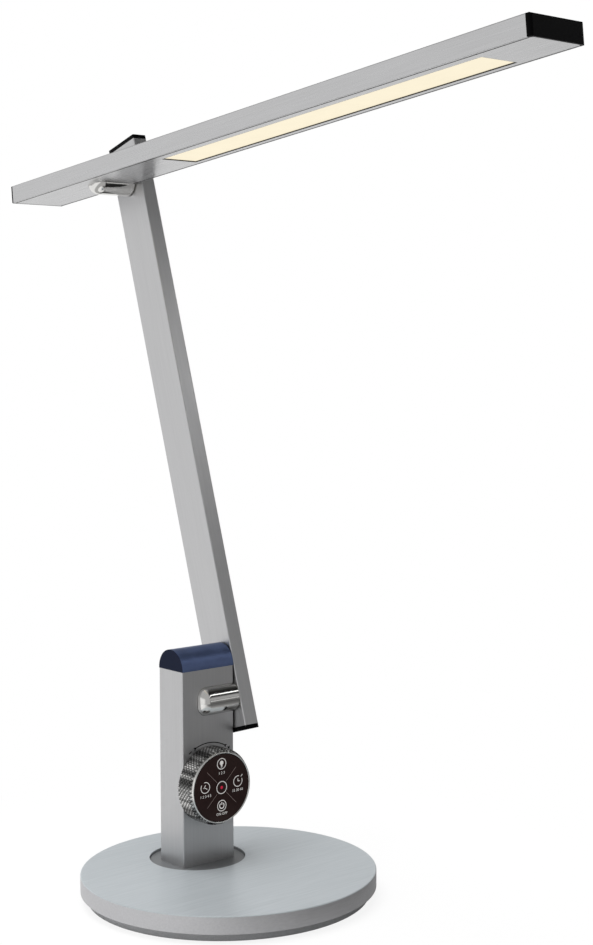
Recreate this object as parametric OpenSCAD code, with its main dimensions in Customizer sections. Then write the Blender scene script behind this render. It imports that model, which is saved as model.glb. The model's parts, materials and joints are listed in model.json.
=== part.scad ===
// LED desk lamp: a weighted round base, a square post on a turntable with a touch dial,
// a flat arm hinged on the post's right side and a bar-shaped light head hinged on the arm.
// Origin at the middle of the underside, +Z up, the dial faces -Y, the arm stands on the +X side.

/* [Base] */
// Diameter of the base shell
base_d = 190; // [176:1:220]
// Height of the base's top face above the table
base_h = 17; // [16.5:0.5:22]
// Thickness of the shell's top and skirt
shell_t = 2; // [1.6:0.1:2.6]
// Rounding of the shell's top edge
shell_edge_r = 0.8; // [0.4:0.1:1.4]
// Height of the shell's lower edge above the table
skirt_z = 6; // [5:0.5:7]
// Step from the shell's edge in to the pan that closes the base from below
pan_step = 4.5; // [3.5:0.1:6]
// Thickness of the pan's floor
pan_t = 1.6; // [1.4:0.1:1.8]
// Thickness of the pan's upright wall
pan_wall = 2.5; // [2:0.1:3]
// Step from the pan's edge in to the soft foot pad
pad_step = 5; // [4.5:0.1:10]
// Thickness of the foot pad
pad_t = 1.4; // [1.2:0.1:1.6]
// How far the foot pad stands out of the pan
pad_proud = 0.6; // [0.4:0.1:0.8]
// Thickness of the ballast plate
weight_t = 8; // [6:0.5:9]
// Number of screws that hold the pan
pan_screw_count = 5; // [3:1:7]
// Distance of the pan screws from the shell's edge
pan_screw_inset = 15; // [14:0.5:17]

/* [Swivel] */
// Distance of the post's middle behind the base's middle
post_y = 34; // [30:0.5:38]
// Radius of the round well in the base's top
well_r = 31.5; // [30:0.5:33]
// Depth of the turntable's face below the base's top
turntable_drop = 1.6; // [1:0.1:2]
// Thickness of the turntable
turntable_t = 2.6; // [2.4:0.1:3]
// Radius of the hollow spigot that the post turns on
spigot_r = 10; // [9:0.25:11]
// Radius of the wire way through the spigot
wire_way_r = 6; // [5:0.25:7]
// Thickness of the bush's thrust flange
bush_flange_t = 0.5; // [0.4:0.1:0.8]
// Wall of the bush
bush_wall = 2; // [1.5:0.1:2.5]
// Thickness of the swivel's retaining nut
swivel_nut_t = 2.2; // [2:0.1:2.4]
// Radius of the stop pin that limits the swivel
stop_pin_r = 1.6; // [1.2:0.1:2]
// Distance of the stop pin from the swivel's middle
stop_pin_circle = 25; // [24:0.25:26]
// Swivel to each side in degrees
swivel_range = 90; // [45:5:120]

/* [Post] */
// Width of the post from side to side
post_w = 41.2; // [39:0.2:46]
// Depth of the post from front to back
post_d = 25.4; // [25:0.2:28]
// Height of the joint between the post and its cap
post_top = 143.5; // [140:0.5:150]
// Wall of the post's tube
post_wall = 2; // [1.8:0.1:2.2]
// Rounding of the post's upright edges
post_edge_r = 0.8; // [0.4:0.1:1.2]
// Radius of the screw ports in the post's corners
port_r = 2.6; // [2.4:0.1:2.8]
// Wall of the round cap
post_cap_wall = 2; // [1.5:0.1:3]
// Height of the cap's straight foot below its round
cap_foot = 0.7; // [0.4:0.1:2]
// Length of the tongues that hold the cap
cap_tongue = 5; // [4:0.5:6]

/* [Dial] */
// Height of the dial's middle
dial_z = 68; // [61:0.5:73]
// Distance of the dial's front edge from the post's face
dial_depth = 14.3; // [14:0.1:18]
// Outer radius of the bright front bezel
bezel_r = 23.2; // [22.6:0.1:24]
// Width of the bezel's front edge
bezel_w = 1; // [0.8:0.1:1.2]
// Length of the bezel along the dial's axis
bezel_t = 2.1; // [1.8:0.1:2.4]
// Step from the bezel out to the tops of the dimmer ring's knurl
knurl_step = 1.7; // [1.4:0.1:2.4]
// Number of grooves in the dimmer ring's knurl
knurl_count = 110; // [60:2:140]
// Depth of the knurl's grooves
knurl_depth = 0.5; // [0.3:0.05:0.7]
// Radius of the hub's journal that the dimmer ring turns on
journal_r = 19.6; // [19:0.1:20]
// Thickness of the touch glass
glass_t = 2; // [1.6:0.1:2.4]
// Depth of the glass behind the bezel's front edge
glass_drop = 0.4; // [0.2:0.1:0.8]
// Thickness of the hub's front flange
hub_flange_t = 1.7; // [1.5:0.1:2]
// Radius of the hub's threaded shank
hub_shank_r = 8; // [7:0.25:9]
// Radius of the red indicator lens
indicator_r = 1; // [0.8:0.1:1.4]

/* [Hinges] */
// Height of the lower hinge's axis
hinge_z = 122.5; // [117:0.5:125]
// Radius of the bright hinge barrels
barrel_r = 9.5; // [9:0.1:9.8]
// Depth of a barrel's axis behind the face that it lies in
barrel_sink = 2.6; // [2.4:0.1:3]
// Length of a barrel's straight part
barrel_len = 22; // [20.5:0.5:24]
// Length of a barrel's round tip
tip_len = 7.2; // [7:0.1:8]
// Rounding of a barrel's tip
tip_r = 6.5; // [5.5:0.1:6.8]
// Height of the flat on a barrel's inner side above its axis
barrel_flat = 7.2; // [7:0.1:7.4]
// Radius of the hollow hinge pins
hinge_pin_r = 3; // [2.6:0.1:3.4]
// Radius of the wire way through a hinge pin
pin_way_r = 1.5; // [1.3:0.05:1.7]
// Gap between the arm and the post, and between the arm and the head
hinge_gap = 0.8; // [0.7:0.05:1.2]
// Radius of the friction washers
hinge_washer_r = 8; // [7:0.25:8.5]

/* [Arm] */
// Width of the arm's broad side
arm_w = 31.2; // [29:0.2:34]
// Thickness of the arm
arm_t = 10.8; // [10:0.2:13]
// Length of the arm with its end caps
arm_len = 414; // [360:1:460]
// Wall of the arm's tube
arm_wall = 1.5; // [1.2:0.1:1.8]
// Rounding of the arm's long edges
arm_edge_r = 0.8; // [0.4:0.1:1.2]
// Thickness of the arm's end caps
arm_cap_t = 2.8; // [1.5:0.1:4]
// Lean of the arm behind the upright in degrees
arm_lean = 17.3; // [0:0.1:30]
// Height of the lower hinge above the arm's lower end
lower_end = 23.5; // [22:0.5:30]
// Depth of the upper hinge below the arm's upper end
upper_end = 29.5; // [24:0.5:36]
// Distance of the lower hinge in front of the arm's middle line
hinge_forward = 7; // [4:0.1:7.5]
// Length of the solid blocks that hold the hinge pins in the arm
hinge_block_len = 30; // [24:1:34]

/* [Head] */
// Width of the light head
head_w = 41.6; // [40:0.2:46]
// Thickness of the light head
head_t = 12.1; // [12:0.1:14]
// Length of the light head with its end caps
head_len = 499; // [460:1:540]
// Rise of the head's front end in degrees
head_pitch = 6.1; // [0:0.1:15]
// Distance of the upper hinge from the head's rear end
head_hinge = 84; // [70:0.5:95]
// Wall of the head's housing
head_wall = 1.5; // [1.2:0.1:1.7]
// Rounding of the head's long edges
head_edge_r = 0.6; // [0.3:0.1:1]
// Thickness of the head's bottom plate
bottom_t = 1; // [0.9:0.1:1.4]
// Width of the shadow joint between the housing's walls and the bottom plate
seam_w = 0.6; // [0.3:0.05:0.7]
// Width of the light window
window_w = 27.4; // [22:0.1:28]
// Length of the light window
window_len = 285; // [240:1:300]
// Distance of the light window from the head's front end
window_front = 42; // [20:1:60]
// Distance of the window's middle from the head's left side
window_side = 21.8; // [20:0.1:22]
// Thickness of the diffuser
diffuser_t = 2; // [1.5:0.1:2.5]
// Overlap of the diffuser on the bottom plate
diffuser_lap = 1.6; // [1:0.1:2]
// Thickness of the head's rear cap
rear_cap_t = 1.5; // [1:0.1:3]
// Thickness of the head's front cap
front_cap_t = 3; // [2.6:0.1:6]
// Thickness of the front cap's wall in front of the bottom plate
front_lip = 1.2; // [0.8:0.1:2]
// Rounding of the front cap's upright corners
front_cap_r = 2.2; // [1.5:0.1:2.5]
// Rounding of the front cap's upper edge
front_edge_r = 1; // [0.5:0.1:1.4]
// Number of light chips along the board
chip_count = 30; // [20:1:40]

/* [Supply] */
// Radius of the inlet's bore for a plug of 5.5 mm
inlet_bore_r = 2.85; // [2.8:0.01:2.95]
// Depth of the inlet's bore
inlet_bore_len = 9.5; // [8:0.5:10]
// Radius of the inlet's contact pin
inlet_pin_r = 1; // [0.9:0.05:1.2]
// Radius of the insulated leads
lead_r = 1; // [0.8:0.05:1.1]
// Width of the driver board
driver_w = 50; // [40:1:54]
// Depth of the driver board
driver_d = 32; // [28:1:36]
// Distance of the driver board's middle from the base's front edge
driver_front = 41; // [36:1:46]

/* [Clearances] */
// Radial clearance of turning fits
turn_gap = 0.05; // [0.02:0.01:0.08]
// Clearance of pieces that are pushed or pressed together
seat_gap = 0.05; // [0.02:0.01:0.1]
// Gap between pieces that move past each other
run_gap = 0.3; // [0.2:0.05:0.4]
// Clearance of drop-in pieces
slip_gap = 0.15; // [0.1:0.05:0.3]

/* [Hidden] */
$fn = 96;
// Overshoot of a cut past the face that it opens
cut = 1;

// Base
base_r = base_d / 2;
pan_r = base_r - pan_step;
pad_r = pan_r - pad_step;
pan_screw_circle = base_r - pan_screw_inset;
shell_in_r = base_r - shell_t;
shell_in_z = base_h - shell_t;
pan_top_z = pad_t + pan_t;
pan_lip_t = 1.6;
pan_lip_z = skirt_z + 0.6;
pan_in_r = pan_r - pan_wall;
boss_r = 4;
pan_screw_r = 1.5;
pan_screw_head_r = 2.9;
pan_screw_head_t = 0.9;
pan_screw_len = 9;
pan_screw_angles = [for (i = [0 : pan_screw_count - 1]) -90 + i * 360 / pan_screw_count];
weight_r = pan_in_r - 0.5;
weight_z = pan_top_z;

// Swivel, stacked from the turntable's face downwards
turntable_z = base_h - turntable_drop;
turntable_low_z = turntable_z - turntable_t;
bush_top_z = turntable_low_z - 2 * turn_gap;
well_floor_z = bush_top_z - bush_flange_t;
well_under_z = well_floor_z - shell_t;
bush_r = spigot_r + turn_gap + bush_wall;
bush_flange_r = bush_r + 3.5;
swivel_washer_t = 0.6;
swivel_washer_r = 16;
swivel_spring_t = 0.8;
swivel_spring_r = 15;
swivel_spring_z = well_under_z - swivel_washer_t - 2 * turn_gap - swivel_spring_t;
swivel_nut_z = swivel_spring_z - swivel_nut_t;
swivel_nut_r = 15;
turntable_r = well_r - run_gap;
weight_well_r = well_r + shell_t + 2;
stop_groove_depth = 1.3;
stop_pin_top_z = turntable_low_z + stop_groove_depth - run_gap;
stop_half_width = stop_pin_r + run_gap;
stop_groove_half = swivel_range + asin(stop_half_width / stop_pin_circle);

// Inlet
inlet_z = (skirt_z + base_h) / 2;
inlet_w = 9;
inlet_h = 2 * inlet_bore_r + 1.2;
inlet_nose_r = inlet_bore_r + 1.05;
inlet_front_y = base_r - 0.2;
inlet_block_y = shell_in_r - 0.6;
inlet_len = 13.5;
inlet_back_y = inlet_block_y - inlet_len;
inlet_floor_y = inlet_front_y - inlet_bore_len;
inlet_pin_y = inlet_front_y - 1;
inlet_tail = 1.5;
inlet_tail_r = inlet_pin_r - 0.2;

// Driver board, in front of the well
driver_y = driver_front - base_r;
driver_t = 1.6;
driver_stand_z = pan_top_z + 1.6;
driver_stand_r = 2;
driver_inset = 4;
driver_top_z = driver_stand_z + driver_t;
driver_room = 4;

// Post
post_front_y = post_y - post_d / 2;
post_in_y = post_front_y + post_wall;
post_back_in_y = post_y + post_d / 2 - post_wall;
post_in_x = post_w / 2 - post_wall;
port_pilot_r = 1.3;
port_x = post_in_x - port_r + 1;
port_y = post_d / 2 - post_wall - port_r + 1;
post_screw_head_r = 2.6;
post_screw_head_t = 1.2;
post_screw_len = 12;
tongue_w = 20;
tongue_t = 1.5;

// Dial, measured outwards from the post's face
glass_front = dial_depth - glass_drop;
glass_back = glass_front - glass_t;
hub_flange_z = glass_back - hub_flange_t;
ring_shoulder = hub_flange_z - run_gap;
ring_front = dial_depth - bezel_t;
bezel_in_r = bezel_r - bezel_w;
glass_r = bezel_in_r - run_gap;
ring_back = run_gap;
knurl_r = bezel_r + knurl_step;
knurl_root_r = knurl_r - knurl_depth;
knurl_chamfer = 1.2;
board_r = journal_r - 1;
board_t = 1.3;
hub_room_r = board_r - 2.5;
hub_room_floor = 3;
hub_way_r = 5;
hub_nut_t = 3.5;
hub_nut_r = 12;
hub_shank_len = post_wall + hub_nut_t + 0.5;
magnet_r = knurl_root_r - 1.5;
magnet_t = 2;
magnet_wall = 1.4;

// Hinges, along X with the arm's side to the right
post_side_x = post_w / 2;
arm_x0 = post_side_x + hinge_gap;
arm_x1 = arm_x0 + arm_t;
arm_mid_x = arm_x0 + arm_t / 2;
lower_y = post_front_y + barrel_sink;
tip_joint_x = post_side_x - barrel_len;
chamber_r = 6;
chamber_len = 11;
tip_plug_len = 2;
pin_shoulder_x = tip_joint_x + chamber_len;
spring_t = 1.4;
spring_r = 5.6;
spring_x = pin_shoulder_x - 2 * turn_gap - spring_t;
lock_nut_t = 3.2;
lock_nut_r = 5.7;
lock_nut_x = spring_x - lock_nut_t;
pin_x0 = lock_nut_x - 0.4;
pin_x1 = arm_x1 - arm_wall - slip_gap;
lead_turn_x = (tip_joint_x + tip_plug_len + pin_x0) / 2;
lead_hole_r = lead_r + 0.4;
lead_rise = 1.6;
lead_joint_x = pin_x0 - 3 * run_gap;
saddle_x0 = tip_joint_x + 1;
saddle_x1 = port_x - port_r - 0.3;
saddle_half = 13;
saddle_screw_r = 1.2;
saddle_screw_x = pin_shoulder_x + 1.5;
saddle_screw_y = 4.4;
saddle_screw_foot = 3.4;
saddle_screw_hold = 4;
washer_t = hinge_gap - 2 * turn_gap;

// Arm, measured from the lower hinge along the arm
hinge_span = arm_len - lower_end - upper_end;
arm_low = -lower_end;
arm_high = arm_len - lower_end;
arm_in_t = arm_t - 2 * arm_wall;
arm_in_w = arm_w - 2 * arm_wall;
arm_plug = 5;

// Head, measured from the upper hinge: the front is towards -Y and the inside is up
head_x1 = post_side_x;
head_x0 = head_x1 - head_w;
head_rear_y = head_hinge;
head_front_y = head_hinge - head_len;
head_low = -barrel_sink;
head_high = head_low + head_t;
head_in_high = head_high - head_wall;
bottom_high = head_low + bottom_t;
bottom_w = head_w - 2 * (head_wall + seam_w);
rib_w = 1.2;
rib_h = 2.5;
head_rib_in = head_wall + slip_gap + rib_w;
window_x = head_x0 + window_side;
window_y = head_front_y + window_front + window_len;
light_board_w = window_w - 2;
light_board_t = 1.2;
light_board_low = head_in_high - light_board_t;
chip_w = 3;
chip_t = 0.8;
chip_rows = 2;
head_plug = 6;

// Leads: how far a route stays clear of a piece, its short ends, and its runs before and after a turn
lead_clear = 4;
lead_apart = 1.2;
lead_tail = 2;
lead_slack = 3;
lead_foot = 8;
lead_drop = 18;

// Frames
module at_swivel() {
    translate([0, post_y, 0]) children();
}
module at_dial() {
    translate([0, post_front_y, dial_z]) rotate([90, 0, 0]) children();
}
module at_arm() {
    translate([0, lower_y, hinge_z]) rotate([-arm_lean, 0, 0]) children();
}
module at_arm_top() {
    at_arm() translate([0, hinge_forward, hinge_span]) children();
}
module at_lower_barrel() {
    translate([0, lower_y, hinge_z]) rotate([-90, 0, 0]) children();
}
module at_head() {
    at_arm_top() rotate([arm_lean - head_pitch, 0, 0]) children();
}

// A rod along X
module axle(r, x0, x1) {
    translate([x0, 0, 0]) rotate([0, 90, 0]) cylinder(h = x1 - x0, r = r);
}
// A rod along Y at the inlet's height
module inlet_rod(r, y0, y1) {
    translate([0, y0, inlet_z]) rotate([-90, 0, 0]) cylinder(h = y1 - y0, r = r);
}
// A ring standing on a height
module ring(r_out, r_in, z0, z1) {
    translate([0, 0, z0]) difference() {
        cylinder(h = z1 - z0, r = r_out);
        translate([0, 0, -cut]) cylinder(h = z1 - z0 + 2 * cut, r = r_in);
    }
}
// A box from one corner to the other
module block(low, high) {
    translate(low) cube(high - low);
}
// A rectangle about the middle with round corners
module rounded_rect(w, d, r) {
    square([w - 2 * r, d], center = true);
    square([w, d - 2 * r], center = true);
    for (x = [-1, 1], y = [-1, 1]) translate([x * (w / 2 - r), y * (d / 2 - r)]) circle(r);
}
// A tube swept along a route of points whose corners are rounded by a curve of three points
function unit(v) = v / norm(v);
function bend_at(p, i, size) =
    let (a = p[i] + size * unit(p[i - 1] - p[i]), b = p[i] + size * unit(p[i + 1] - p[i]))
    [a, (a + 2 * p[i] + b) / 4, b];
function rounded(p, size) =
    [p[0], for (i = [1 : len(p) - 2]) each bend_at(p, i, size), p[len(p) - 1]];
function heading(p, i) =
    let (last = len(p) - 1)
    unit(unit(p[min(i + 1, last)] - p[min(i, last - 1)]) + unit(p[max(i, 1)] - p[max(i - 1, 0)]));
function across(p, i) =
    let (h = heading(p, i), n = i == 0 ? (abs(h.z) < 0.7 ? [0, 0, 1] : [1, 0, 0]) : across(p, i - 1))
    unit(n - (n * h) * h);
function sweep_ring(p, i, r, sides) =
    let (h = heading(p, i), n = across(p, i), m = cross(h, n))
    [for (k = [0 : sides - 1]) p[i] + r * (cos(k * 360 / sides) * n + sin(k * 360 / sides) * m)];
module lead(route) {
    sides = 8;
    path = rounded(route, 1.5 * lead_r);
    last = len(path) - 1;
    points = [for (i = [0 : last]) each sweep_ring(path, i, lead_r, sides)];
    walls = [
        for (i = [0 : last - 1], k = [0 : sides - 1])
            let (a = i * sides + k, b = i * sides + (k + 1) % sides)
                each [[a, a + sides, b], [b, a + sides, b + sides]]
    ];
    near = [for (k = [0 : sides - 1]) k];
    far = [for (k = [sides - 1 : -1 : 0]) last * sides + k];
    polyhedron(points, concat(walls, [near, far]));
}
module at_pan_screws() {
    for (a = pan_screw_angles) rotate([0, 0, a]) translate([pan_screw_circle, 0, 0]) children();
}
module at_post_screws() {
    for (x = [-1, 1], y = [-1, 1]) at_swivel() translate([x * port_x, y * port_y, 0]) children();
}
module at_driver_corners() {
    for (x = [-1, 1], y = [-1, 1])
        translate([x * (driver_w / 2 - driver_inset), driver_y + y * (driver_d / 2 - driver_inset), 0]) children();
}

// Base pieces
module shell_outline() {
    h = base_h - skirt_z;
    translate([0, skirt_z]) {
        square([base_r - shell_edge_r, h]);
        square([base_r, h - shell_edge_r]);
        translate([base_r - shell_edge_r, h - shell_edge_r]) circle(shell_edge_r);
    }
}
module base_shell() {
    color("lightsteelblue") difference() {
        union() {
            rotate_extrude() difference() {
                shell_outline();
                square([shell_in_r, shell_in_z]);
            }
            at_swivel() translate([0, 0, well_under_z])
                cylinder(h = base_h - well_under_z, r = well_r + shell_t);
            at_pan_screws() translate([0, 0, pan_top_z])
                cylinder(h = base_h - shell_t / 2 - pan_top_z, r = boss_r);
        }
        at_swivel() {
            translate([0, 0, well_floor_z]) cylinder(h = base_h, r = well_r);
            translate([0, 0, well_under_z - cut]) cylinder(h = base_h, r = bush_r + seat_gap);
            translate([0, -stop_pin_circle, well_under_z - cut]) cylinder(h = base_h, r = stop_pin_r + seat_gap);
        }
        at_pan_screws() translate([0, 0, pan_top_z - cut])
            cylinder(h = pan_screw_len + cut, r = pan_screw_r + seat_gap);
        inlet_rod(inlet_nose_r + slip_gap, inlet_block_y - 2 * cut, base_r + cut);
    }
}
module base_weight() {
    channel_w = 4 * lead_r + 4;
    inlet_room = inlet_w + 4;
    color("dimgray") translate([0, 0, weight_z]) linear_extrude(weight_t) difference() {
        circle(weight_r);
        translate([0, post_y]) circle(weight_well_r);
        at_pan_screws() circle(boss_r + run_gap);
        translate([0, driver_y]) square([driver_w + driver_room, driver_d + driver_room], center = true);
        translate([-channel_w / 2, driver_y]) square([channel_w, post_y - driver_y]);
        translate([-inlet_room / 2, post_y]) square([inlet_room, base_r]);
    }
}
module base_pan() {
    pad_seat_r = pad_r + slip_gap;
    lip_r = shell_in_r - slip_gap;
    inlet_room = inlet_w + 2 * slip_gap;
    color("gray") difference() {
        union() {
            rotate_extrude() polygon([
                [0, pad_t], [pad_seat_r, pad_t], [pad_seat_r, pad_proud], [pan_r, pad_proud],
                [pan_r, pan_lip_z], [lip_r, pan_lip_z], [lip_r, pan_lip_z + pan_lip_t],
                [pan_in_r, pan_lip_z + pan_lip_t], [pan_in_r, pan_top_z], [0, pan_top_z]
            ]);
            at_driver_corners() translate([0, 0, pan_top_z - pan_t / 2])
                cylinder(h = driver_stand_z - pan_top_z + pan_t / 2, r = driver_stand_r);
            block(
                [-inlet_w / 2, inlet_back_y, pan_top_z - pan_t / 2],
                [inlet_w / 2, pan_in_r + pan_wall / 2, inlet_z - inlet_h / 2]
            );
        }
        block([-inlet_room / 2, inlet_back_y, inlet_z - inlet_h / 2], [inlet_room / 2, base_r + cut, base_h]);
        inlet_rod(inlet_nose_r + slip_gap, inlet_block_y - 2 * cut, base_r + cut);
        at_pan_screws() {
            translate([0, 0, pad_t - cut]) cylinder(h = pan_t + 2 * cut, r = pan_screw_r + slip_gap);
            translate([0, 0, pad_t - cut]) cylinder(h = pan_screw_head_t + cut, r = pan_screw_head_r + slip_gap);
        }
    }
}
module foot_pad() {
    color("black") cylinder(h = pad_t, r = pad_r);
}
module pan_screws() {
    color("silver") at_pan_screws() translate([0, 0, pad_t]) {
        cylinder(h = pan_screw_head_t, r = pan_screw_head_r);
        cylinder(h = pan_screw_len, r = pan_screw_r);
    }
}
module driver_board() {
    color("darkgreen") translate([-driver_w / 2, driver_y - driver_d / 2, driver_stand_z])
        cube([driver_w, driver_d, driver_t]);
}
module driver_parts() {
    coil_r = 5;
    coil_h = 4.5;
    can_r = 3;
    can_h = 6;
    chip = [6, 5, 1.5];
    color("darkslategray") translate([0, driver_y, driver_top_z]) {
        translate([-driver_w / 4, 0, 0]) cylinder(h = coil_h, r = coil_r);
        for (y = [-1, 1]) translate([driver_w / 4, y * driver_d / 5, 0]) cylinder(h = can_h, r = can_r);
        translate([-chip.x / 2, -chip.y / 2, 0]) cube(chip);
    }
}
module inlet_jack() {
    color("black") difference() {
        union() {
            block(
                [-inlet_w / 2, inlet_back_y, inlet_z - inlet_h / 2],
                [inlet_w / 2, inlet_block_y, inlet_z + inlet_h / 2]
            );
            inlet_rod(inlet_nose_r, inlet_block_y - cut, inlet_front_y);
        }
        inlet_rod(inlet_bore_r, inlet_floor_y, inlet_front_y + cut);
        inlet_rod(inlet_tail_r + seat_gap, inlet_back_y - cut, inlet_front_y);
    }
}
module inlet_contact() {
    color("gold") {
        inlet_rod(inlet_pin_r, inlet_floor_y, inlet_pin_y);
        inlet_rod(inlet_tail_r, inlet_back_y - inlet_tail, inlet_floor_y + cut);
    }
}
module swivel_bush() {
    color("whitesmoke") at_swivel() {
        ring(bush_r, spigot_r + turn_gap, well_under_z, bush_top_z);
        ring(bush_flange_r, bush_r - bush_wall / 2, well_floor_z, bush_top_z);
    }
}
module swivel_washer() {
    color("whitesmoke") at_swivel()
        ring(swivel_washer_r, spigot_r + run_gap, well_under_z - swivel_washer_t, well_under_z);
}
module swivel_stop_pin() {
    color("silver") at_swivel() translate([0, -stop_pin_circle, well_under_z])
        cylinder(h = stop_pin_top_z - well_under_z, r = stop_pin_r);
}
module base_leads() {
    low_z = pan_top_z + lead_r + slip_gap;
    detour = swivel_nut_r + lead_clear;
    aside = lead_r + lead_apart;
    board_y = driver_y + driver_d / 2;
    plug_z = driver_top_z + lead_r;
    tail_y = inlet_back_y - inlet_tail - slip_gap;
    color("firebrick") {
        lead([
            [0, tail_y, inlet_z], [0, tail_y - lead_tail, inlet_z], [aside, post_y + weight_well_r, low_z],
            [detour, post_y + detour, low_z], [detour, post_y - detour, low_z], [aside, 0, low_z],
            [aside, board_y + lead_foot, low_z], [aside, board_y + lead_slack, plug_z],
            [aside, board_y - lead_clear, plug_z]
        ]);
        lead([
            [-aside, board_y - lead_clear, plug_z], [-aside, board_y + lead_slack, plug_z],
            [-aside, board_y + lead_foot, low_z], [-aside, post_y, low_z],
            [-aside, post_y + lead_slack, swivel_nut_z - run_gap - lead_r]
        ]);
    }
}

// Post pieces
module turntable() {
    color("dimgray") at_swivel() difference() {
        union() {
            translate([0, 0, turntable_low_z]) cylinder(h = turntable_t, r = turntable_r);
            translate([0, 0, swivel_nut_z])
                cylinder(h = turntable_low_z - swivel_nut_z + turntable_t / 2, r = spigot_r);
        }
        translate([0, 0, swivel_nut_z - cut]) cylinder(h = base_h, r = wire_way_r);
        translate([0, 0, turntable_low_z - cut]) rotate([0, 0, -90 - stop_groove_half])
            rotate_extrude(angle = 2 * stop_groove_half)
                translate([stop_pin_circle - stop_half_width, 0])
                    square([2 * stop_half_width, stop_groove_depth + cut]);
        for (x = [-1, 1], y = [-1, 1]) translate([x * port_x, y * port_y, turntable_low_z - cut]) {
            cylinder(h = turntable_t + 2 * cut, r = port_pilot_r + slip_gap);
            cylinder(h = post_screw_head_t + cut, r = post_screw_head_r + slip_gap);
        }
    }
}
module swivel_spring() {
    color("silver") at_swivel()
        ring(swivel_spring_r, spigot_r + seat_gap, swivel_spring_z, swivel_spring_z + swivel_spring_t);
}
module swivel_nut() {
    color("silver") at_swivel() translate([0, 0, swivel_nut_z]) difference() {
        cylinder(h = swivel_nut_t, r = swivel_nut_r, $fn = 6);
        translate([0, 0, -cut]) cylinder(h = swivel_nut_t + 2 * cut, r = spigot_r + seat_gap);
    }
}
module post_section() {
    difference() {
        rounded_rect(post_w, post_d, post_edge_r);
        square([post_w - 2 * post_wall, post_d - 2 * post_wall], center = true);
    }
    for (x = [-1, 1], y = [-1, 1]) translate([x * port_x, y * port_y]) circle(port_r);
}
module post_tube() {
    color("silver") difference() {
        at_swivel() translate([0, 0, turntable_z]) linear_extrude(post_top - turntable_z) difference() {
            post_section();
            for (x = [-1, 1], y = [-1, 1]) translate([x * port_x, y * port_y]) circle(port_pilot_r);
        }
        at_dial() translate([0, 0, -post_wall - cut])
            cylinder(h = post_wall + 2 * cut, r = hub_shank_r + slip_gap);
        at_lower_barrel() barrel_room();
    }
}
// Half round on a straight foot that starts at a height
module cap_section(r, low) {
    translate([-r, low]) square([2 * r, cap_foot - low]);
    intersection() {
        translate([0, cap_foot]) circle(r);
        translate([-r, low]) square([2 * r, 2 * r]);
    }
}
module post_cap() {
    r = post_d / 2;
    color("midnightblue") {
        translate([-post_w / 2, post_y, post_top]) rotate([90, 0, 90]) difference() {
            linear_extrude(post_w) cap_section(r, 0);
            translate([0, 0, post_cap_wall]) linear_extrude(post_w - 2 * post_cap_wall)
                cap_section(r - post_cap_wall, -cut);
        }
        for (y = [-1, 1]) {
            face = post_d / 2 - post_wall - slip_gap;
            low = face - tongue_t;
            translate([-tongue_w / 2, post_y + (y < 0 ? -face : low), post_top - cap_tongue])
                cube([tongue_w, tongue_t, cap_tongue + cap_foot + sqrt(r * r - face * face) - post_cap_wall / 2]);
        }
    }
}
module post_screws() {
    color("silver") at_post_screws() translate([0, 0, turntable_low_z + post_screw_head_t]) {
        translate([0, 0, -post_screw_head_t]) cylinder(h = post_screw_head_t, r = post_screw_head_r);
        cylinder(h = post_screw_len, r = port_pilot_r - seat_gap);
    }
}
module post_leads() {
    back_y = post_y + lead_clear;
    aside = lead_turn_x;
    hole_y = lower_y + lead_rise;
    bottom_z = swivel_nut_z + lead_tail;
    way = wire_way_r - 2 * lead_r;
    hub_tail = hub_shank_len + lead_clear;
    hinge_low = hinge_z - saddle_half;
    foot_z = turntable_z + lead_foot;
    way_z = turntable_z - lead_r;
    board_y = post_front_y - glass_back + board_t + seat_gap;
    color("firebrick") {
        lead([
            [lead_joint_x, lower_y, hinge_z], [aside, hole_y, hinge_z], [aside, hole_y, hinge_low - lead_slack],
            [aside, back_y, hinge_low - lead_drop], [aside, back_y, foot_z],
            [way / 2, post_y + way, way_z], [way / 2, post_y + way, bottom_z]
        ]);
        lead([
            [0, board_y, dial_z], [0, post_front_y + hub_tail, dial_z],
            [-aside, post_y, dial_z - hub_nut_r], [-way / 2, post_y, foot_z],
            [-way / 2, post_y - way / 2, way_z], [-way / 2, post_y - way / 2, bottom_z]
        ]);
    }
}

// Dial pieces
module dial_hub() {
    color("black") at_dial() difference() {
        union() {
            cylinder(h = glass_back - hub_flange_t / 2, r = journal_r);
            translate([0, 0, hub_flange_z]) cylinder(h = hub_flange_t, r = glass_r);
            translate([0, 0, -hub_shank_len]) cylinder(h = hub_shank_len + cut, r = hub_shank_r);
        }
        translate([0, 0, glass_back - board_t]) cylinder(h = dial_depth, r = board_r + slip_gap);
        translate([0, 0, hub_room_floor]) cylinder(h = dial_depth, r = hub_room_r);
        translate([0, 0, -hub_shank_len - cut]) cylinder(h = dial_depth + hub_shank_len, r = hub_way_r);
    }
}
module hub_nut() {
    color("silver") at_dial() translate([0, 0, -post_wall - hub_nut_t]) difference() {
        cylinder(h = hub_nut_t, r = hub_nut_r, $fn = 6);
        translate([0, 0, -cut]) cylinder(h = hub_nut_t + 2 * cut, r = hub_shank_r + seat_gap);
    }
}
module touch_board() {
    color("darkgreen") at_dial() translate([0, 0, glass_back - board_t]) cylinder(h = board_t, r = board_r);
}
module touch_glass() {
    color("black") at_dial() ring(glass_r, indicator_r + seat_gap, glass_back, glass_front);
}
module indicator_lens() {
    color("crimson") at_dial() translate([0, 0, glass_back]) cylinder(h = glass_t, r = indicator_r);
}
module knurl_outline() {
    step = 360 / knurl_count;
    polygon([
        for (i = [0 : knurl_count - 1], side = [0, 1])
            let (r = side == 0 ? knurl_root_r : knurl_r, a = (i + side / 2) * step) [r * cos(a), r * sin(a)]
    ]);
}
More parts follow.
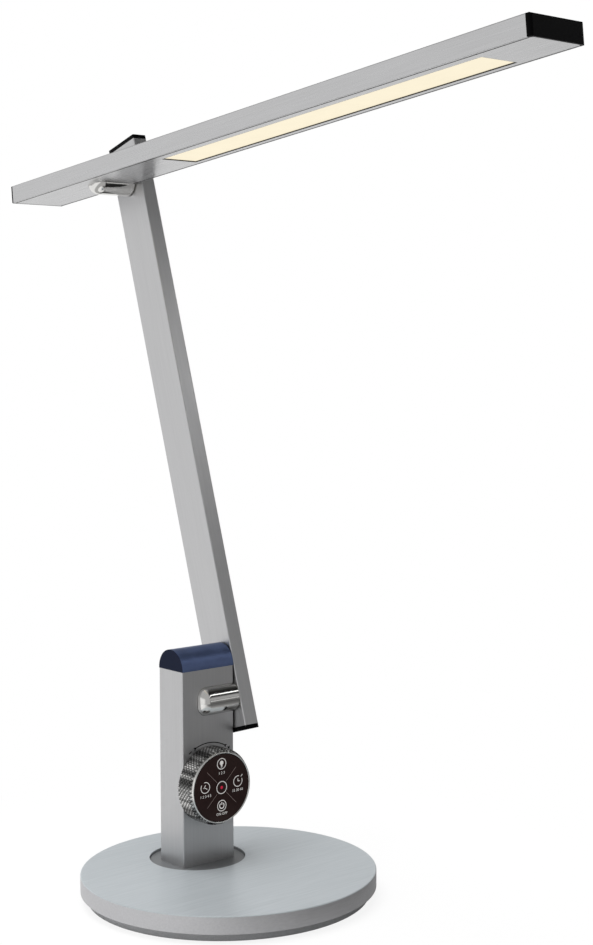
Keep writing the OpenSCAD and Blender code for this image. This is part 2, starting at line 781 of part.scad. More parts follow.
module dimmer_ring() {
    color("silver") at_dial() difference() {
        intersection() {
            translate([0, 0, ring_back]) linear_extrude(ring_front - ring_back) knurl_outline();
            rotate_extrude() polygon([
                [0, ring_back - cut], [bezel_r + 2 * knurl_step, ring_back - cut],
                [bezel_r + 2 * knurl_step, ring_front - 2 * knurl_chamfer],
                [bezel_r - knurl_step, ring_front + knurl_chamfer], [0, ring_front + knurl_chamfer]
            ]);
        }
        cylinder(h = dial_depth, r = journal_r + turn_gap);
        translate([0, 0, ring_shoulder]) cylinder(h = dial_depth, r = bezel_in_r);
        translate([0, 0, ring_back - cut]) cylinder(h = magnet_t + cut, r = magnet_r + seat_gap);
    }
}
module dimmer_bezel() {
    round_r = bezel_w / 2;
    color("white") at_dial() rotate_extrude() translate([bezel_in_r, ring_front]) {
        square([bezel_w, bezel_t - round_r]);
        translate([round_r, bezel_t - round_r]) circle(round_r);
    }
}
module encoder_magnet() {
    color("dimgray") at_dial() ring(magnet_r, magnet_r - magnet_wall, ring_back, ring_back + magnet_t);
}

// Hinge pieces, shared by the lower and the upper hinge: the axis is X and the inside is up
module barrel_flat_cut(gap) {
    block([-post_w, -2 * barrel_r, barrel_flat + gap], [post_w, 2 * barrel_r, 3 * barrel_r]);
}
module tip_outline(gap) {
    flat_r = barrel_r - tip_r;
    straight = tip_len - tip_r;
    square([flat_r, tip_len + gap]);
    square([barrel_r + gap, straight]);
    intersection() {
        translate([flat_r, straight]) circle(tip_r + gap);
        square([barrel_r + gap, tip_len + gap]);
    }
}
module tip_solid(gap) {
    translate([tip_joint_x, 0, 0]) rotate([0, -90, 0]) rotate_extrude() tip_outline(gap);
}
// Room that a barrel and its tip take up in the profile that holds them
module barrel_room() {
    difference() {
        union() {
            axle(barrel_r + slip_gap, tip_joint_x - 0.1, post_side_x + cut);
            tip_solid(slip_gap);
        }
        barrel_flat_cut(slip_gap);
    }
}
module barrel() {
    difference() {
        axle(barrel_r, tip_joint_x, post_side_x);
        axle(chamber_r, tip_joint_x - cut, pin_shoulder_x);
        axle(hinge_pin_r + turn_gap, tip_joint_x, post_side_x + cut);
        barrel_flat_cut(0);
        translate([lead_turn_x, 0, lead_rise]) rotate([-90, 0, 0]) cylinder(h = 2 * barrel_r, r = lead_hole_r);
        for (y = [-1, 1]) translate([saddle_screw_x, y * saddle_screw_y, saddle_screw_foot])
            cylinder(h = barrel_r, r = saddle_screw_r + seat_gap);
    }
}
module barrel_tip() {
    difference() {
        union() {
            tip_solid(0);
            axle(chamber_r - seat_gap, tip_joint_x - cut, tip_joint_x + tip_plug_len);
        }
        barrel_flat_cut(0);
    }
}
// Cradle that holds a barrel from behind, up to the far wall of its profile
module saddle(top) {
    difference() {
        block([saddle_x0, -saddle_half, 0], [saddle_x1, saddle_half, top]);
        difference() {
            axle(barrel_r + seat_gap, saddle_x0 - cut, saddle_x1 + cut);
            barrel_flat_cut(seat_gap);
        }
        translate([lead_turn_x, 0, lead_rise]) rotate([-90, 0, 0]) cylinder(h = 2 * saddle_half, r = lead_hole_r);
        for (y = [-1, 1]) translate([saddle_screw_x, y * saddle_screw_y, 0])
            cylinder(h = top + cut, r = saddle_screw_r + seat_gap);
    }
}
module saddle_screws(top) {
    for (y = [-1, 1]) translate([saddle_screw_x, y * saddle_screw_y, saddle_screw_foot])
        cylinder(h = top - saddle_screw_foot, r = saddle_screw_r);
}
// Hollow pin: the lead turns out of it along +Z inside the arm
module hinge_pin() {
    difference() {
        axle(hinge_pin_r, pin_x0, pin_x1);
        axle(pin_way_r, pin_x0 - cut, arm_mid_x + pin_way_r);
        translate([arm_mid_x, 0, 0]) cylinder(h = 2 * hinge_pin_r, r = pin_way_r);
    }
}
module hinge_washer() {
    difference() {
        axle(hinge_washer_r, arm_x0 - washer_t, arm_x0);
        axle(hinge_pin_r + seat_gap, arm_x0 - washer_t - cut, arm_x0 + cut);
    }
}
module hinge_springs() {
    difference() {
        axle(spring_r, spring_x, spring_x + spring_t);
        axle(hinge_pin_r + seat_gap, spring_x - cut, spring_x + spring_t + cut);
    }
}
module lock_nut() {
    difference() {
        translate([lock_nut_x, 0, 0]) rotate([0, 90, 0]) cylinder(h = lock_nut_t, r = lock_nut_r, $fn = 6);
        axle(hinge_pin_r + seat_gap, lock_nut_x - cut, lock_nut_x + lock_nut_t + cut);
    }
}

// Lower hinge
lower_saddle_top = post_back_in_y - lower_y - slip_gap;
module lower_barrel() {
    color("white") at_lower_barrel() barrel();
}
module lower_barrel_tip() {
    color("white") at_lower_barrel() barrel_tip();
}
module lower_saddle() {
    color("gray") at_lower_barrel() saddle(lower_saddle_top);
}
module lower_saddle_screws() {
    color("silver") at_lower_barrel() saddle_screws(barrel_flat + saddle_screw_hold);
}
module lower_hinge_pin() {
    color("silver") at_arm() hinge_pin();
}
module lower_washer() {
    color("whitesmoke") at_arm() hinge_washer();
}
module lower_springs() {
    color("silver") at_arm() hinge_springs();
}
module lower_lock_nut() {
    color("silver") at_arm() lock_nut();
}

// Arm pieces
module arm_section(inset) {
    translate([arm_mid_x, hinge_forward])
        rounded_rect(arm_t - 2 * inset, arm_w - 2 * inset, arm_edge_r);
}
module arm_tube() {
    color("silver") at_arm() difference() {
        translate([0, 0, arm_low + arm_cap_t]) linear_extrude(arm_len - 2 * arm_cap_t) difference() {
            arm_section(0);
            translate([arm_mid_x, hinge_forward]) square([arm_in_t, arm_in_w], center = true);
        }
        axle(hinge_pin_r + slip_gap, arm_x0 - cut, arm_mid_x);
        translate([0, hinge_forward, hinge_span]) axle(hinge_pin_r + slip_gap, arm_x0 - cut, arm_mid_x);
    }
}
// End cap with its plug pointing up
module arm_cap() {
    linear_extrude(arm_cap_t) arm_section(0);
    translate([arm_mid_x, hinge_forward, 0]) linear_extrude(arm_cap_t + arm_plug)
        square([arm_in_t - 2 * slip_gap, arm_in_w - 2 * slip_gap], center = true);
}
module arm_lower_cap() {
    color("black") at_arm() translate([0, 0, arm_low]) arm_cap();
}
module arm_upper_cap() {
    color("black") at_arm() translate([0, 0, arm_high]) mirror([0, 0, 1]) arm_cap();
}
// Solid block in the arm that the pin is pressed into, with a way for the lead along +Z
module hinge_block(offset_y) {
    half = hinge_block_len / 2;
    difference() {
        translate([arm_mid_x, offset_y, -half]) linear_extrude(hinge_block_len)
            square([arm_in_t - 2 * slip_gap, arm_in_w - 2 * slip_gap], center = true);
        axle(hinge_pin_r + seat_gap, arm_x0, arm_x1);
        translate([arm_mid_x, 0, 0]) cylinder(h = hinge_block_len, r = lead_hole_r);
    }
}
module lower_hinge_block() {
    color("gray") at_arm() hinge_block(hinge_forward);
}
module upper_hinge_block() {
    color("gray") at_arm_top() mirror([0, 0, 1]) hinge_block(0);
}
module arm_lead() {
    clear = hinge_block_len / 2 + lead_slack;
    pin_end = pin_x0 + lead_r;
    color("firebrick") at_arm() lead([
        [pin_end, 0, 0], [arm_mid_x, 0, 0], [arm_mid_x, 0, clear],
        [arm_mid_x, hinge_forward, hinge_span - clear], [arm_mid_x, hinge_forward, hinge_span],
        [pin_end, hinge_forward, hinge_span]
    ]);
}

// Upper hinge
upper_saddle_top = head_in_high - slip_gap;
module upper_hinge_pin() {
    color("silver") at_arm_top() mirror([0, 0, 1]) hinge_pin();
}
module upper_washer() {
    color("whitesmoke") at_arm_top() hinge_washer();
}
module upper_springs() {
    color("silver") at_arm_top() hinge_springs();
}
module upper_lock_nut() {
    color("silver") at_arm_top() lock_nut();
}
module upper_barrel() {
    color("white") at_head() mirror([0, 1, 0]) barrel();
}
module upper_barrel_tip() {
    color("white") at_head() barrel_tip();
}
module upper_saddle() {
    color("gray") at_head() mirror([0, 1, 0]) saddle(upper_saddle_top);
}
module upper_saddle_screws() {
    color("silver") at_head() saddle_screws(upper_saddle_top);
}

// Head pieces
// A straight run along the head with a section given in width and height
module head_run(y_rear, y_front) {
    translate([0, y_rear, 0]) rotate([90, 0, 0]) linear_extrude(y_rear - y_front) children();
}
module head_outline() {
    translate([(head_x0 + head_x1) / 2, (head_low + head_high) / 2]) rounded_rect(head_w, head_t, head_edge_r);
}
// Plan of the head with its round front corners
module head_plan() {
    translate([(head_x0 + head_x1) / 2, head_front_y + head_len, head_low]) linear_extrude(head_t)
        rounded_rect(head_w, 2 * head_len, front_cap_r);
}
// Side view of the head with its round upper front edge
module head_side() {
    translate([head_x0, head_front_y + head_len, head_high - head_t]) rotate([90, 0, 90]) linear_extrude(head_w)
        rounded_rect(2 * head_len, 2 * head_t, front_edge_r);
}
// Plan of the bottom plate, which lies between the housing's walls and runs on into the front cap
module bottom_plan(gap) {
    front = head_front_y + front_lip - gap;
    intersection() {
        translate([(head_x0 + head_x1) / 2, front + head_len])
            rounded_rect(bottom_w + 2 * gap, 2 * head_len, front_cap_r);
        translate([head_x0, front]) square([head_w, head_rear_y - rear_cap_t - front]);
    }
}
module head_housing() {
    in_w = head_w - 2 * head_wall;
    color("silver") at_head() difference() {
        head_run(head_rear_y - rear_cap_t, head_front_y + front_cap_t) difference() {
            head_outline();
            translate([head_x0 + head_wall, head_low - cut]) square([in_w, head_in_high - head_low + cut]);
        }
        barrel_room();
    }
}
module head_bottom() {
    color("silver") at_head() difference() {
        union() {
            translate([0, 0, head_low]) linear_extrude(bottom_t) bottom_plan(0);
            head_run(head_rear_y - rear_cap_t, head_front_y + front_cap_t)
                for (x = [head_x0 + head_wall + slip_gap, head_x1 - head_rib_in])
                    translate([x, bottom_high - bottom_t / 2]) square([rib_w, rib_h + bottom_t / 2]);
        }
        barrel_room();
        block(
            [saddle_x0 - slip_gap, -saddle_half - slip_gap, -seat_gap],
            [head_x1, saddle_half + slip_gap, head_high]
        );
        block(
            [window_x - window_w / 2, window_y - window_len, head_low - cut],
            [window_x + window_w / 2, window_y, head_high]
        );
    }
}
module diffuser() {
    half = window_w / 2 + diffuser_lap;
    color("lightyellow") at_head() block(
        [window_x - half, window_y - window_len - diffuser_lap, bottom_high],
        [window_x + half, window_y + diffuser_lap, bottom_high + diffuser_t]
    );
}
module light_board() {
    color("white") at_head() block(
        [window_x - light_board_w / 2, window_y - window_len, light_board_low],
        [window_x + light_board_w / 2, window_y, head_in_high]
    );
}
module light_chips() {
    pitch = window_len / chip_count;
    row_gap = light_board_w / chip_rows;
    color("yellow") at_head() for (i = [0 : chip_count - 1], row = [0 : chip_rows - 1])
        translate([
            window_x + (row - (chip_rows - 1) / 2) * row_gap - chip_w / 2,
            window_y - (i + 0.5) * pitch - chip_w / 2,
            light_board_low - chip_t
        ]) cube([chip_w, chip_w, chip_t]);
}
module head_lead() {
    mid = (bottom_high + head_in_high) / 2;
    color("firebrick") at_head() lead([
        [lead_joint_x, 0, 0], [lead_turn_x, 0, lead_rise], [lead_turn_x, -saddle_half - lead_clear, lead_rise],
        [window_x, window_y + lead_drop, mid], [window_x, window_y + slip_gap, head_in_high - lead_r - slip_gap]
    ]);
}
module head_plug_section() {
    x0 = head_x0 + head_rib_in + slip_gap;
    x1 = head_x1 - head_rib_in - slip_gap;
    translate([x0, bottom_high + slip_gap]) square([x1 - x0, head_in_high - bottom_high - 2 * slip_gap]);
}
module head_rear_cap() {
    color("black") at_head() {
        head_run(head_rear_y, head_rear_y - rear_cap_t) head_outline();
        head_run(head_rear_y - rear_cap_t / 2, head_rear_y - rear_cap_t - head_plug) head_plug_section();
    }
}
module head_front_cap() {
    color("black") at_head() {
        difference() {
            intersection() {
                head_run(head_front_y + front_cap_t, head_front_y) head_outline();
                head_plan();
                head_side();
            }
            translate([0, 0, head_low - cut]) linear_extrude(bottom_t + slip_gap + cut) bottom_plan(slip_gap);
        }
        head_run(head_front_y + front_cap_t + head_plug, head_front_y + front_cap_t / 2) head_plug_section();
    }
}

base_shell();
base_weight();
base_pan();
foot_pad();
pan_screws();
driver_board();
driver_parts();
inlet_jack();
inlet_contact();
swivel_bush();
swivel_washer();
swivel_stop_pin();
base_leads();
turntable();
swivel_spring();
swivel_nut();
post_tube();
post_cap();
post_screws();
dial_hub();
hub_nut();
touch_board();
touch_glass();
indicator_lens();
post_leads();
lower_barrel();
lower_barrel_tip();
lower_saddle();
lower_saddle_screws();
dimmer_ring();
dimmer_bezel();
encoder_magnet();
arm_tube();
arm_lower_cap();
arm_upper_cap();
arm_lead();
lower_hinge_block();
upper_hinge_block();
lower_hinge_pin();
lower_washer();
lower_springs();
lower_lock_nut();
upper_hinge_pin();
upper_washer();
upper_springs();
upper_lock_nut();
upper_barrel();
upper_barrel_tip();
upper_saddle();
upper_saddle_screws();
head_housing();
head_bottom();
diffuser();
light_board();
light_chips();
head_lead();
head_rear_cap();
head_front_cap();
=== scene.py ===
# %% [markdown]
# # An LED desk lamp, dressed for the camera
# The lamp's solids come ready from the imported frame: a round base, a square post with a touch dial, a flat
# arm and a bar-shaped head. This notebook gives every piece its finish, adds the printed marks that are
# too fine for a solid, and sets up a small white studio around it.

# %% Load the frame
import json
import math

import bmesh
import bpy
from mathutils import Matrix, Vector


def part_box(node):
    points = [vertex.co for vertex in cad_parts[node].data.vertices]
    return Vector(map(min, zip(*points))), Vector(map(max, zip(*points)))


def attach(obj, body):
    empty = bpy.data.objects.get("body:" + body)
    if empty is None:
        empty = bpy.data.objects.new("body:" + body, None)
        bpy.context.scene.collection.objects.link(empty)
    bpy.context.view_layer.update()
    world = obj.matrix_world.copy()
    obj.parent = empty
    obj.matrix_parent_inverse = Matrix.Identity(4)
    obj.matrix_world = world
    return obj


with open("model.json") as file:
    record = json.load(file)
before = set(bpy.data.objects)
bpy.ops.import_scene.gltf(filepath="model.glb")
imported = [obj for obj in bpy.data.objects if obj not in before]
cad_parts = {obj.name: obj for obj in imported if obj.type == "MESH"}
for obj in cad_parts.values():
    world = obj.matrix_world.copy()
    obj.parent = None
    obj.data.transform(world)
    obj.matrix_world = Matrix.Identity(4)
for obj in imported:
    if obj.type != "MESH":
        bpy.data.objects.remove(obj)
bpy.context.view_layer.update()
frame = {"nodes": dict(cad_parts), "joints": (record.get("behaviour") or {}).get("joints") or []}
nodes = frame["nodes"]

# %% [markdown]
# ## Camera
# The photo was taken from the front left, at about two thirds of the lamp's height, looking slightly down.
# A camera is a place, three axes and a focal length. The axes are worked out from two angles, which is
# easier to check than Euler angles. The picture is a crop: its middle is not the lens's middle, so the
# camera has a small sideways shift.

# %% Camera
image_w = 593
image_h = 945
sensor = 36.0
focal_px = 1713.9
lens_middle_px = 345.64
view_turn = math.radians(-41.668)
view_drop = math.radians(4.38)
camera_place = Vector((-0.6639, -0.8590, 0.3555))

right = Vector((math.cos(view_turn), math.sin(view_turn), 0))
back = Vector((
    math.sin(view_turn) * math.cos(view_drop),
    -math.cos(view_turn) * math.cos(view_drop),
    math.sin(view_drop),
))
up = back.cross(right)
camera_axes = Matrix((right, up, back)).transposed().to_4x4()
camera_data = bpy.data.cameras.new("camera")
camera_data.sensor_width = sensor
camera_data.lens = focal_px * sensor / image_h
camera_data.shift_x = (image_w / 2 - lens_middle_px) / image_h
camera = bpy.data.objects.new("camera", camera_data)
camera.matrix_world = Matrix.Translation(camera_place) @ camera_axes
bpy.context.scene.collection.objects.link(camera)
bpy.context.scene.camera = camera
bpy.context.scene.view_settings.view_transform = "Standard"
print("lens", round(camera_data.lens, 1), "mm, shift", round(camera_data.shift_x, 4))

# %% [markdown]
# ## Studio
# Brushed metal has hardly a colour of its own: it shows the room. So the room is part of the finish, and
# it is built from directions. Three helpers do that: one measures a direction or a place along an axis,
# one spreads a span of such a measure between two levels, and one combines two measures.

# %% Helpers for measures


def along(tree, place, axis):
    """How far a place or a direction goes along an axis."""
    product = tree.nodes.new("ShaderNodeVectorMath")
    product.operation = "DOT_PRODUCT"
    product.inputs[1].default_value = axis
    tree.links.new(place, product.inputs[0])
    return product.outputs["Value"]


def ramp(tree, measure, span, levels, ends="SMOOTHSTEP"):
    """Spreads a span of a measure from one level to another, with soft ends or straight ones."""
    spread = tree.nodes.new("ShaderNodeMapRange")
    spread.interpolation_type = ends
    spread.inputs["From Min"].default_value, spread.inputs["From Max"].default_value = span
    spread.inputs["To Min"].default_value, spread.inputs["To Max"].default_value = levels
    tree.links.new(measure, spread.inputs["Value"])
    return spread.outputs["Result"]


def combine(tree, operation, first, second):
    """One operation on two measures, or on a measure and a number."""
    step = tree.nodes.new("ShaderNodeMath")
    step.operation = operation
    tree.links.new(first, step.inputs[0])
    if isinstance(second, (int, float)):
        step.inputs[1].default_value = second
    else:
        tree.links.new(second, step.inputs[1])
    return step.outputs["Value"]


# %% [markdown]
# In the photo every face that looks to the left is light and every face that looks to the front right is
# dark. So the room is white at the back and on the left, and falls off to grey on the camera's right. A
# world that fades with direction gives this to metal and to paint alike.

# %% World that fades from a white side to a grey side
white_side = Vector((-0.6, 0.8, 0.06)).normalized()
side_levels = (0.18, 0.91)
fade_span = (-0.55, 0.15)

world = bpy.data.worlds.new("studio")
world.use_nodes = True
bpy.context.scene.world = world
room_tree = world.node_tree
room_tree.nodes.clear()
direction = room_tree.nodes.new("ShaderNodeTexCoord").outputs["Generated"]
sides = ramp(room_tree, along(room_tree, direction, white_side), fade_span, side_levels)
print("room fades from", side_levels[0], "to", side_levels[1])

# %% [markdown]
# The tops of the chrome barrels are nearly black but their tips are light, so the room has a dark ceiling
# with a skylight overhead. The front of the upper barrel is dark and its underside is light, so the ground
# is dark too, higher up at the front than at the back. Both are dark on the right only. Elsewhere the room
# stays open, so that tops and undersides look like the same metal from other sides.

# %% Ceiling, skylight, ground and open side
ceiling_span = (0.2, 0.55)
ceiling_level = 0.08
sky_span = (0.7, 0.95)
sky_level = 0.55
ground_tilt = 0.25
ground_span = (-0.4, -0.6)
ground_level = 0.08
open_span = (0.4, 0.1)
open_level = 0.45

height = along(room_tree, direction, (0, 0, 1))
slope = along(room_tree, direction, (0, ground_tilt, 1))
rightwards = along(room_tree, direction, (1, 0, 0))
ceiling = ramp(room_tree, height, ceiling_span, (1, ceiling_level))
skylight = ramp(room_tree, height, sky_span, (0, sky_level))
ground = ramp(room_tree, slope, ground_span, (1, ground_level))
open_side = ramp(room_tree, rightwards, open_span, (0, open_level))
overhead = combine(room_tree, "MAXIMUM", ceiling, skylight)
above_and_below = combine(room_tree, "MULTIPLY", overhead, ground)
shut_side = combine(room_tree, "MULTIPLY", sides, above_and_below)
room_level = combine(room_tree, "MAXIMUM", shut_side, open_side)
print("ceiling", ceiling_level, "skylight", sky_level, "ground", ground_level, "open side", open_level)

# %% [markdown]
# The camera itself sees plain white past the lamp, as in the photo. The Light Path node tells its rays
# from those that come off a surface, so the white backdrop adds no light to the lamp.

# %% White backdrop for the camera
white = (1, 1, 1, 1)


def show_camera(tree, seen, otherwise, output):
    """Gives the camera's rays one shader and all other rays another."""
    path = tree.nodes.new("ShaderNodeLightPath")
    choose = tree.nodes.new("ShaderNodeMixShader")
    result = tree.nodes.new(output)
    tree.links.new(path.outputs["Is Camera Ray"], choose.inputs["Fac"])
    tree.links.new(otherwise, choose.inputs[1])
    tree.links.new(seen, choose.inputs[2])
    tree.links.new(choose.outputs["Shader"], result.inputs["Surface"])


room = room_tree.nodes.new("ShaderNodeBackground")
room_tree.links.new(room_level, room.inputs["Color"])
backdrop = room_tree.nodes.new("ShaderNodeBackground")
backdrop.inputs["Color"].default_value = white
show_camera(room_tree, backdrop.outputs["Background"], room.outputs["Background"], "ShaderNodeOutputWorld")
print("world of", len(room_tree.nodes), "nodes")

# %% [markdown]
# The floor is a round sheet of paper, one capped circle. It lies a hair below the foot pad, so that no two
# faces share one plane.

# %% Floor sheet
floor_r = 0.32
floor_drop = 0.0002
floor_sides = 96


def link_mesh(name, bm):
    """Turns a bmesh into an object at the origin."""
    mesh = bpy.data.meshes.new(name)
    bm.to_mesh(mesh)
    bm.free()
    obj = bpy.data.objects.new(name, mesh)
    bpy.context.scene.collection.objects.link(obj)
    return obj


bm = bmesh.new()
bmesh.ops.create_circle(
    bm, cap_ends=True, segments=floor_sides, radius=floor_r, matrix=Matrix.Translation((0, 0, -floor_drop))
)
floor = link_mesh("floor", bm)
print("floor", 2 * floor_r, "m wide")

# %% [markdown]
# Seen by the camera the paper mostly glows white, and wholly so away from the lamp, so that it joins the
# backdrop with no edge. The rest is ordinary diffuse light, so that it still takes the lamp's shadow. All
# other rays meet a matt sheet with the room's fade painted on it, light on the room's white side and dark
# grey on the other, because the metal in the photo mirrors such a table.

# %% Paper of the floor
floor_glow = 0.88
shadow_span = (0.16, 0.3)
paper_white = (0.9, 0.9, 0.9, 1)
sheet_shade_levels = (0.12, 0.74)
sheet_shade_span = (-0.22, 0.06)

paper_sheet = bpy.data.materials.new("paper_sheet")
paper_sheet.use_nodes = True
sheet_tree = paper_sheet.node_tree
sheet_tree.nodes.clear()
sheet_place = sheet_tree.nodes.new("ShaderNodeTexCoord").outputs["Object"]
away = sheet_tree.nodes.new("ShaderNodeVectorMath")
away.operation = "LENGTH"
sheet_tree.links.new(sheet_place, away.inputs[0])
glow_share = ramp(sheet_tree, away.outputs["Value"], shadow_span, (floor_glow, 1))
# For all rays but the camera's, the sheet's colour is painted shade: light on the room's white side, dark
# grey on the other.
sheet_side = along(sheet_tree, sheet_place, white_side)
painted_sheet_shade = ramp(sheet_tree, sheet_side, sheet_shade_span, sheet_shade_levels)

matt = sheet_tree.nodes.new("ShaderNodeBsdfDiffuse")
matt.inputs["Color"].default_value = paper_white
glow = sheet_tree.nodes.new("ShaderNodeEmission")
glow.inputs["Color"].default_value = white
paper = sheet_tree.nodes.new("ShaderNodeMixShader")
shaded_sheet = sheet_tree.nodes.new("ShaderNodeBsdfDiffuse")
sheet_tree.links.new(glow_share, paper.inputs["Fac"])
sheet_tree.links.new(matt.outputs["BSDF"], paper.inputs[1])
sheet_tree.links.new(glow.outputs["Emission"], paper.inputs[2])
sheet_tree.links.new(painted_sheet_shade, shaded_sheet.inputs["Color"])
show_camera(sheet_tree, paper.outputs["Shader"], shaded_sheet.outputs["BSDF"], "ShaderNodeOutputMaterial")
floor.data.materials.append(paper_sheet)
print("paper of", len(sheet_tree.nodes), "nodes")

# %% [markdown]
# Four soft boxes do the rest: one above for the base's top, a faint wide one on the dark side for the
# arm's narrow face, and two narrow strips there whose long reflections draw the bright lines on the
# chrome. The box above is hidden from mirror rays: it lights paint and paper, and no metal mirrors it when
# the arm turns.

# %% Soft boxes
soft_boxes = {
    "top_box": {"place": (-0.2, 0.2, 1.9), "size": (1.2, 1.2), "watts": 37.5, "shaded_sheet": False},
    "low_strip": {"place": (0.95, -0.95, 0.08), "size": (1.3, 0.12), "watts": 0.25, "shaded_sheet": True},
    "high_strip": {"place": (0.8, -0.7, 0.88), "size": (1.3, 0.1), "watts": 0.9, "shaded_sheet": True},
    "right_box": {"place": (0.9, -1.05, 0.42), "size": (1.3, 0.4), "watts": 0.35, "shaded_sheet": True},
}
aim = Vector((0, 0, 0.25))
for name, box in soft_boxes.items():
    light = bpy.data.lights.new(name, "AREA")
    light.shape = "RECTANGLE"
    light.size, light.size_y = box["size"]
    light.energy = box["watts"]
    lamp = bpy.data.objects.new(name, light)
    lamp.location = box["place"]
    lamp.rotation_euler = (aim - Vector(box["place"])).to_track_quat("-Z", "Y").to_euler()
    lamp.visible_glossy = box["shaded_sheet"]
    bpy.context.scene.collection.objects.link(lamp)
    print(name, box["watts"], "W")

# %% [markdown]
# ## Finishes
# Each finish is one Principled shader with its constants set on the sockets. Colours are written as they
# read in the photo, from 0 to 255, because that is easy to compare; a shader takes linear values.

# %% Colours and shaders


def photo_colour(red, green, blue):
    """A colour as it reads in the photo, 0 to 255, in the linear values that a shader takes."""
    shares = [channel / 255 for channel in (red, green, blue)]
    linear = [s / 12.92 if s <= 0.04045 else ((s + 0.055) / 1.055) ** 2.4 for s in shares]
    return (*linear, 1)


def shade(colour, share):
    """The same colour, lighter or darker by a share."""
    return (*[channel * share for channel in colour[:3]], 1)


def start_finish(name, sockets):
    """A new material with these constants on its Principled shader."""
    material = bpy.data.materials.new(name)
    material.use_nodes = True
    shader = material.node_tree.nodes["Principled BSDF"]
    for socket, value in sockets.items():
        shader.inputs[socket].default_value = value
    return material


def feed(material, socket, output):
    """Links an output to a socket of the Principled shader."""
    material.node_tree.links.new(output, material.node_tree.nodes["Principled BSDF"].inputs[socket])


def dress(material, *names):
    """Gives these solids the material."""
    for name in names:
        nodes[name].material_slots[0].material = material
    print(material.name, "on", len(names), "solids")


profile_grey = photo_colour(198, 198, 199)
print("profile grey in linear values:", [round(channel, 3) for channel in profile_grey[:3]])

# %% [markdown]
# On top of the constants come one or two noise patterns on Object coordinates. A pattern has a cell size
# in metres along three axes, and a turn that lays those axes along a leaning piece, so brushing on the arm
# runs along the arm. A pattern can change the roughness, the colour, or the height of the surface.

# %% Patterns
hair = 0.0004
streak = 0.0011


def brush_cell(axis, width, length):
    """Cells that are long along one axis, 0 to 2, and thin across it."""
    return tuple(length if i == axis else width for i in range(3))


def even_cell(size):
    """Cells of one size along all three axes."""
    return (size, size, size)


def pattern(material, cell, turn=(0, 0, 0), detail=3.0):
    """Noise whose cells have these sizes in metres along the turned axes."""
    tree = material.node_tree
    place = tree.nodes.new("ShaderNodeTexCoord")
    lay = tree.nodes.new("ShaderNodeMapping")
    lay.vector_type = "TEXTURE"
    lay.inputs["Rotation"].default_value = turn
    lay.inputs["Scale"].default_value = cell
    noise = tree.nodes.new("ShaderNodeTexNoise")
    noise.inputs["Scale"].default_value = 1
    noise.inputs["Detail"].default_value = detail
    tree.links.new(place.outputs["Object"], lay.inputs["Vector"])
    tree.links.new(lay.outputs["Vector"], noise.inputs["Vector"])
    return noise.outputs["Fac"]


def between(material, factor, low, high, span=(0.25, 0.75)):
    """The given span of a pattern, spread evenly from low to high."""
    return ramp(material.node_tree, factor, span, (low, high), "LINEAR")


print("brush hairs", hair, "m wide and streaks", streak, "m")

# %% What a pattern changes


def blend(material, factor, first, second):
    """A colour between two, each of them a constant or the output of another blend."""
    tree = material.node_tree
    mix = tree.nodes.new("ShaderNodeMix")
    mix.data_type = "RGBA"
    tree.links.new(factor, mix.inputs["Factor"])
    for socket, colour in (("A", first), ("B", second)):
        target = next(i for i in mix.inputs if i.name == socket and i.type == "RGBA")
        if isinstance(colour, tuple):
            target.default_value = colour
        else:
            tree.links.new(colour, target)
    return next(o for o in mix.outputs if o.type == "RGBA")


def vary_roughness(material, factor, low, high):
    feed(material, "Roughness", between(material, factor, low, high))


def vary_colour(material, factor, dark, light, socket="Base Color"):
    feed(material, socket, blend(material, between(material, factor, 0, 1), dark, light))


def raise_relief(material, factor, depth):
    """Bump of this depth in metres."""
    tree = material.node_tree
    bump = tree.nodes.new("ShaderNodeBump")
    bump.inputs["Strength"].default_value = 1
    bump.inputs["Distance"].default_value = depth
    tree.links.new(factor, bump.inputs["Height"])
    feed(material, "Normal", bump.outputs["Normal"])


# %% [markdown]
# ### Brushed aluminium
# The post, arm and head are extruded profiles that were brushed along their length and anodised. Long thin
# noise cells are the brush lines: the hairs change the roughness and dent the surface by a micrometre, and
# the wider streaks change the colour a little, as on a hand-finished length.

# %% Brushed profiles
arm_lean = math.radians(17.3)
head_pitch = math.radians(6.1)
hair_length = 0.03
streak_length = 0.05
streak_shares = (0.97, 1.03)
brush_depth = 0.000001
upright = (0, 0, 0)
arm_turn = (-arm_lean, 0, 0)
head_turn = (-head_pitch, 0, 0)


def brushed_metal(name, axis, turn, rough):
    """Profile metal that is brushed along an axis, 0 to 2, of a turned piece."""
    material = start_finish(name, {"Metallic": 1.0})
    hairs = pattern(material, brush_cell(axis, hair, hair_length), turn, detail=2.0)
    streaks = pattern(material, brush_cell(axis, streak, streak_length), turn, detail=2.0)
    vary_colour(material, streaks, *[shade(profile_grey, share) for share in streak_shares])
    vary_roughness(material, hairs, *rough)
    raise_relief(material, hairs, brush_depth)
    return material


dress(brushed_metal("post_brushed", axis=2, turn=upright, rough=(0.42, 0.48)), "post_tube")
dress(brushed_metal("arm_brushed", axis=2, turn=arm_turn, rough=(0.32, 0.4)), "arm_tube")
head_metal = brushed_metal("head_brushed", axis=1, turn=head_turn, rough=(0.24, 0.34))
dress(head_metal, "head_housing", "head_bottom")

# %% [markdown]
# The base is a pressed shell. Its skirt was turned and shows the room like the profiles do. Its top was
# brushed in one direction and sealed with a thicker, slightly blue coat, so it is duller and hardly
# mirrors the post. One material does both: a mask on the height tells the top from the skirt.

# %% Brushed base
base_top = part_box("base_shell")[1].z
top_mask_span = (base_top - 0.0008, base_top - 0.0003)
base_hair_length = 0.02
base_streak_length = 0.03
base_brush_depth = 0.000005
sealed_metallic = 0.4


def axis_mask(material, axis, span):
    """0 before the span of places on an axis and 1 behind it."""
    tree = material.node_tree
    place = tree.nodes.new("ShaderNodeTexCoord")
    return between(material, along(tree, place.outputs["Object"], axis), 0, 1, span)


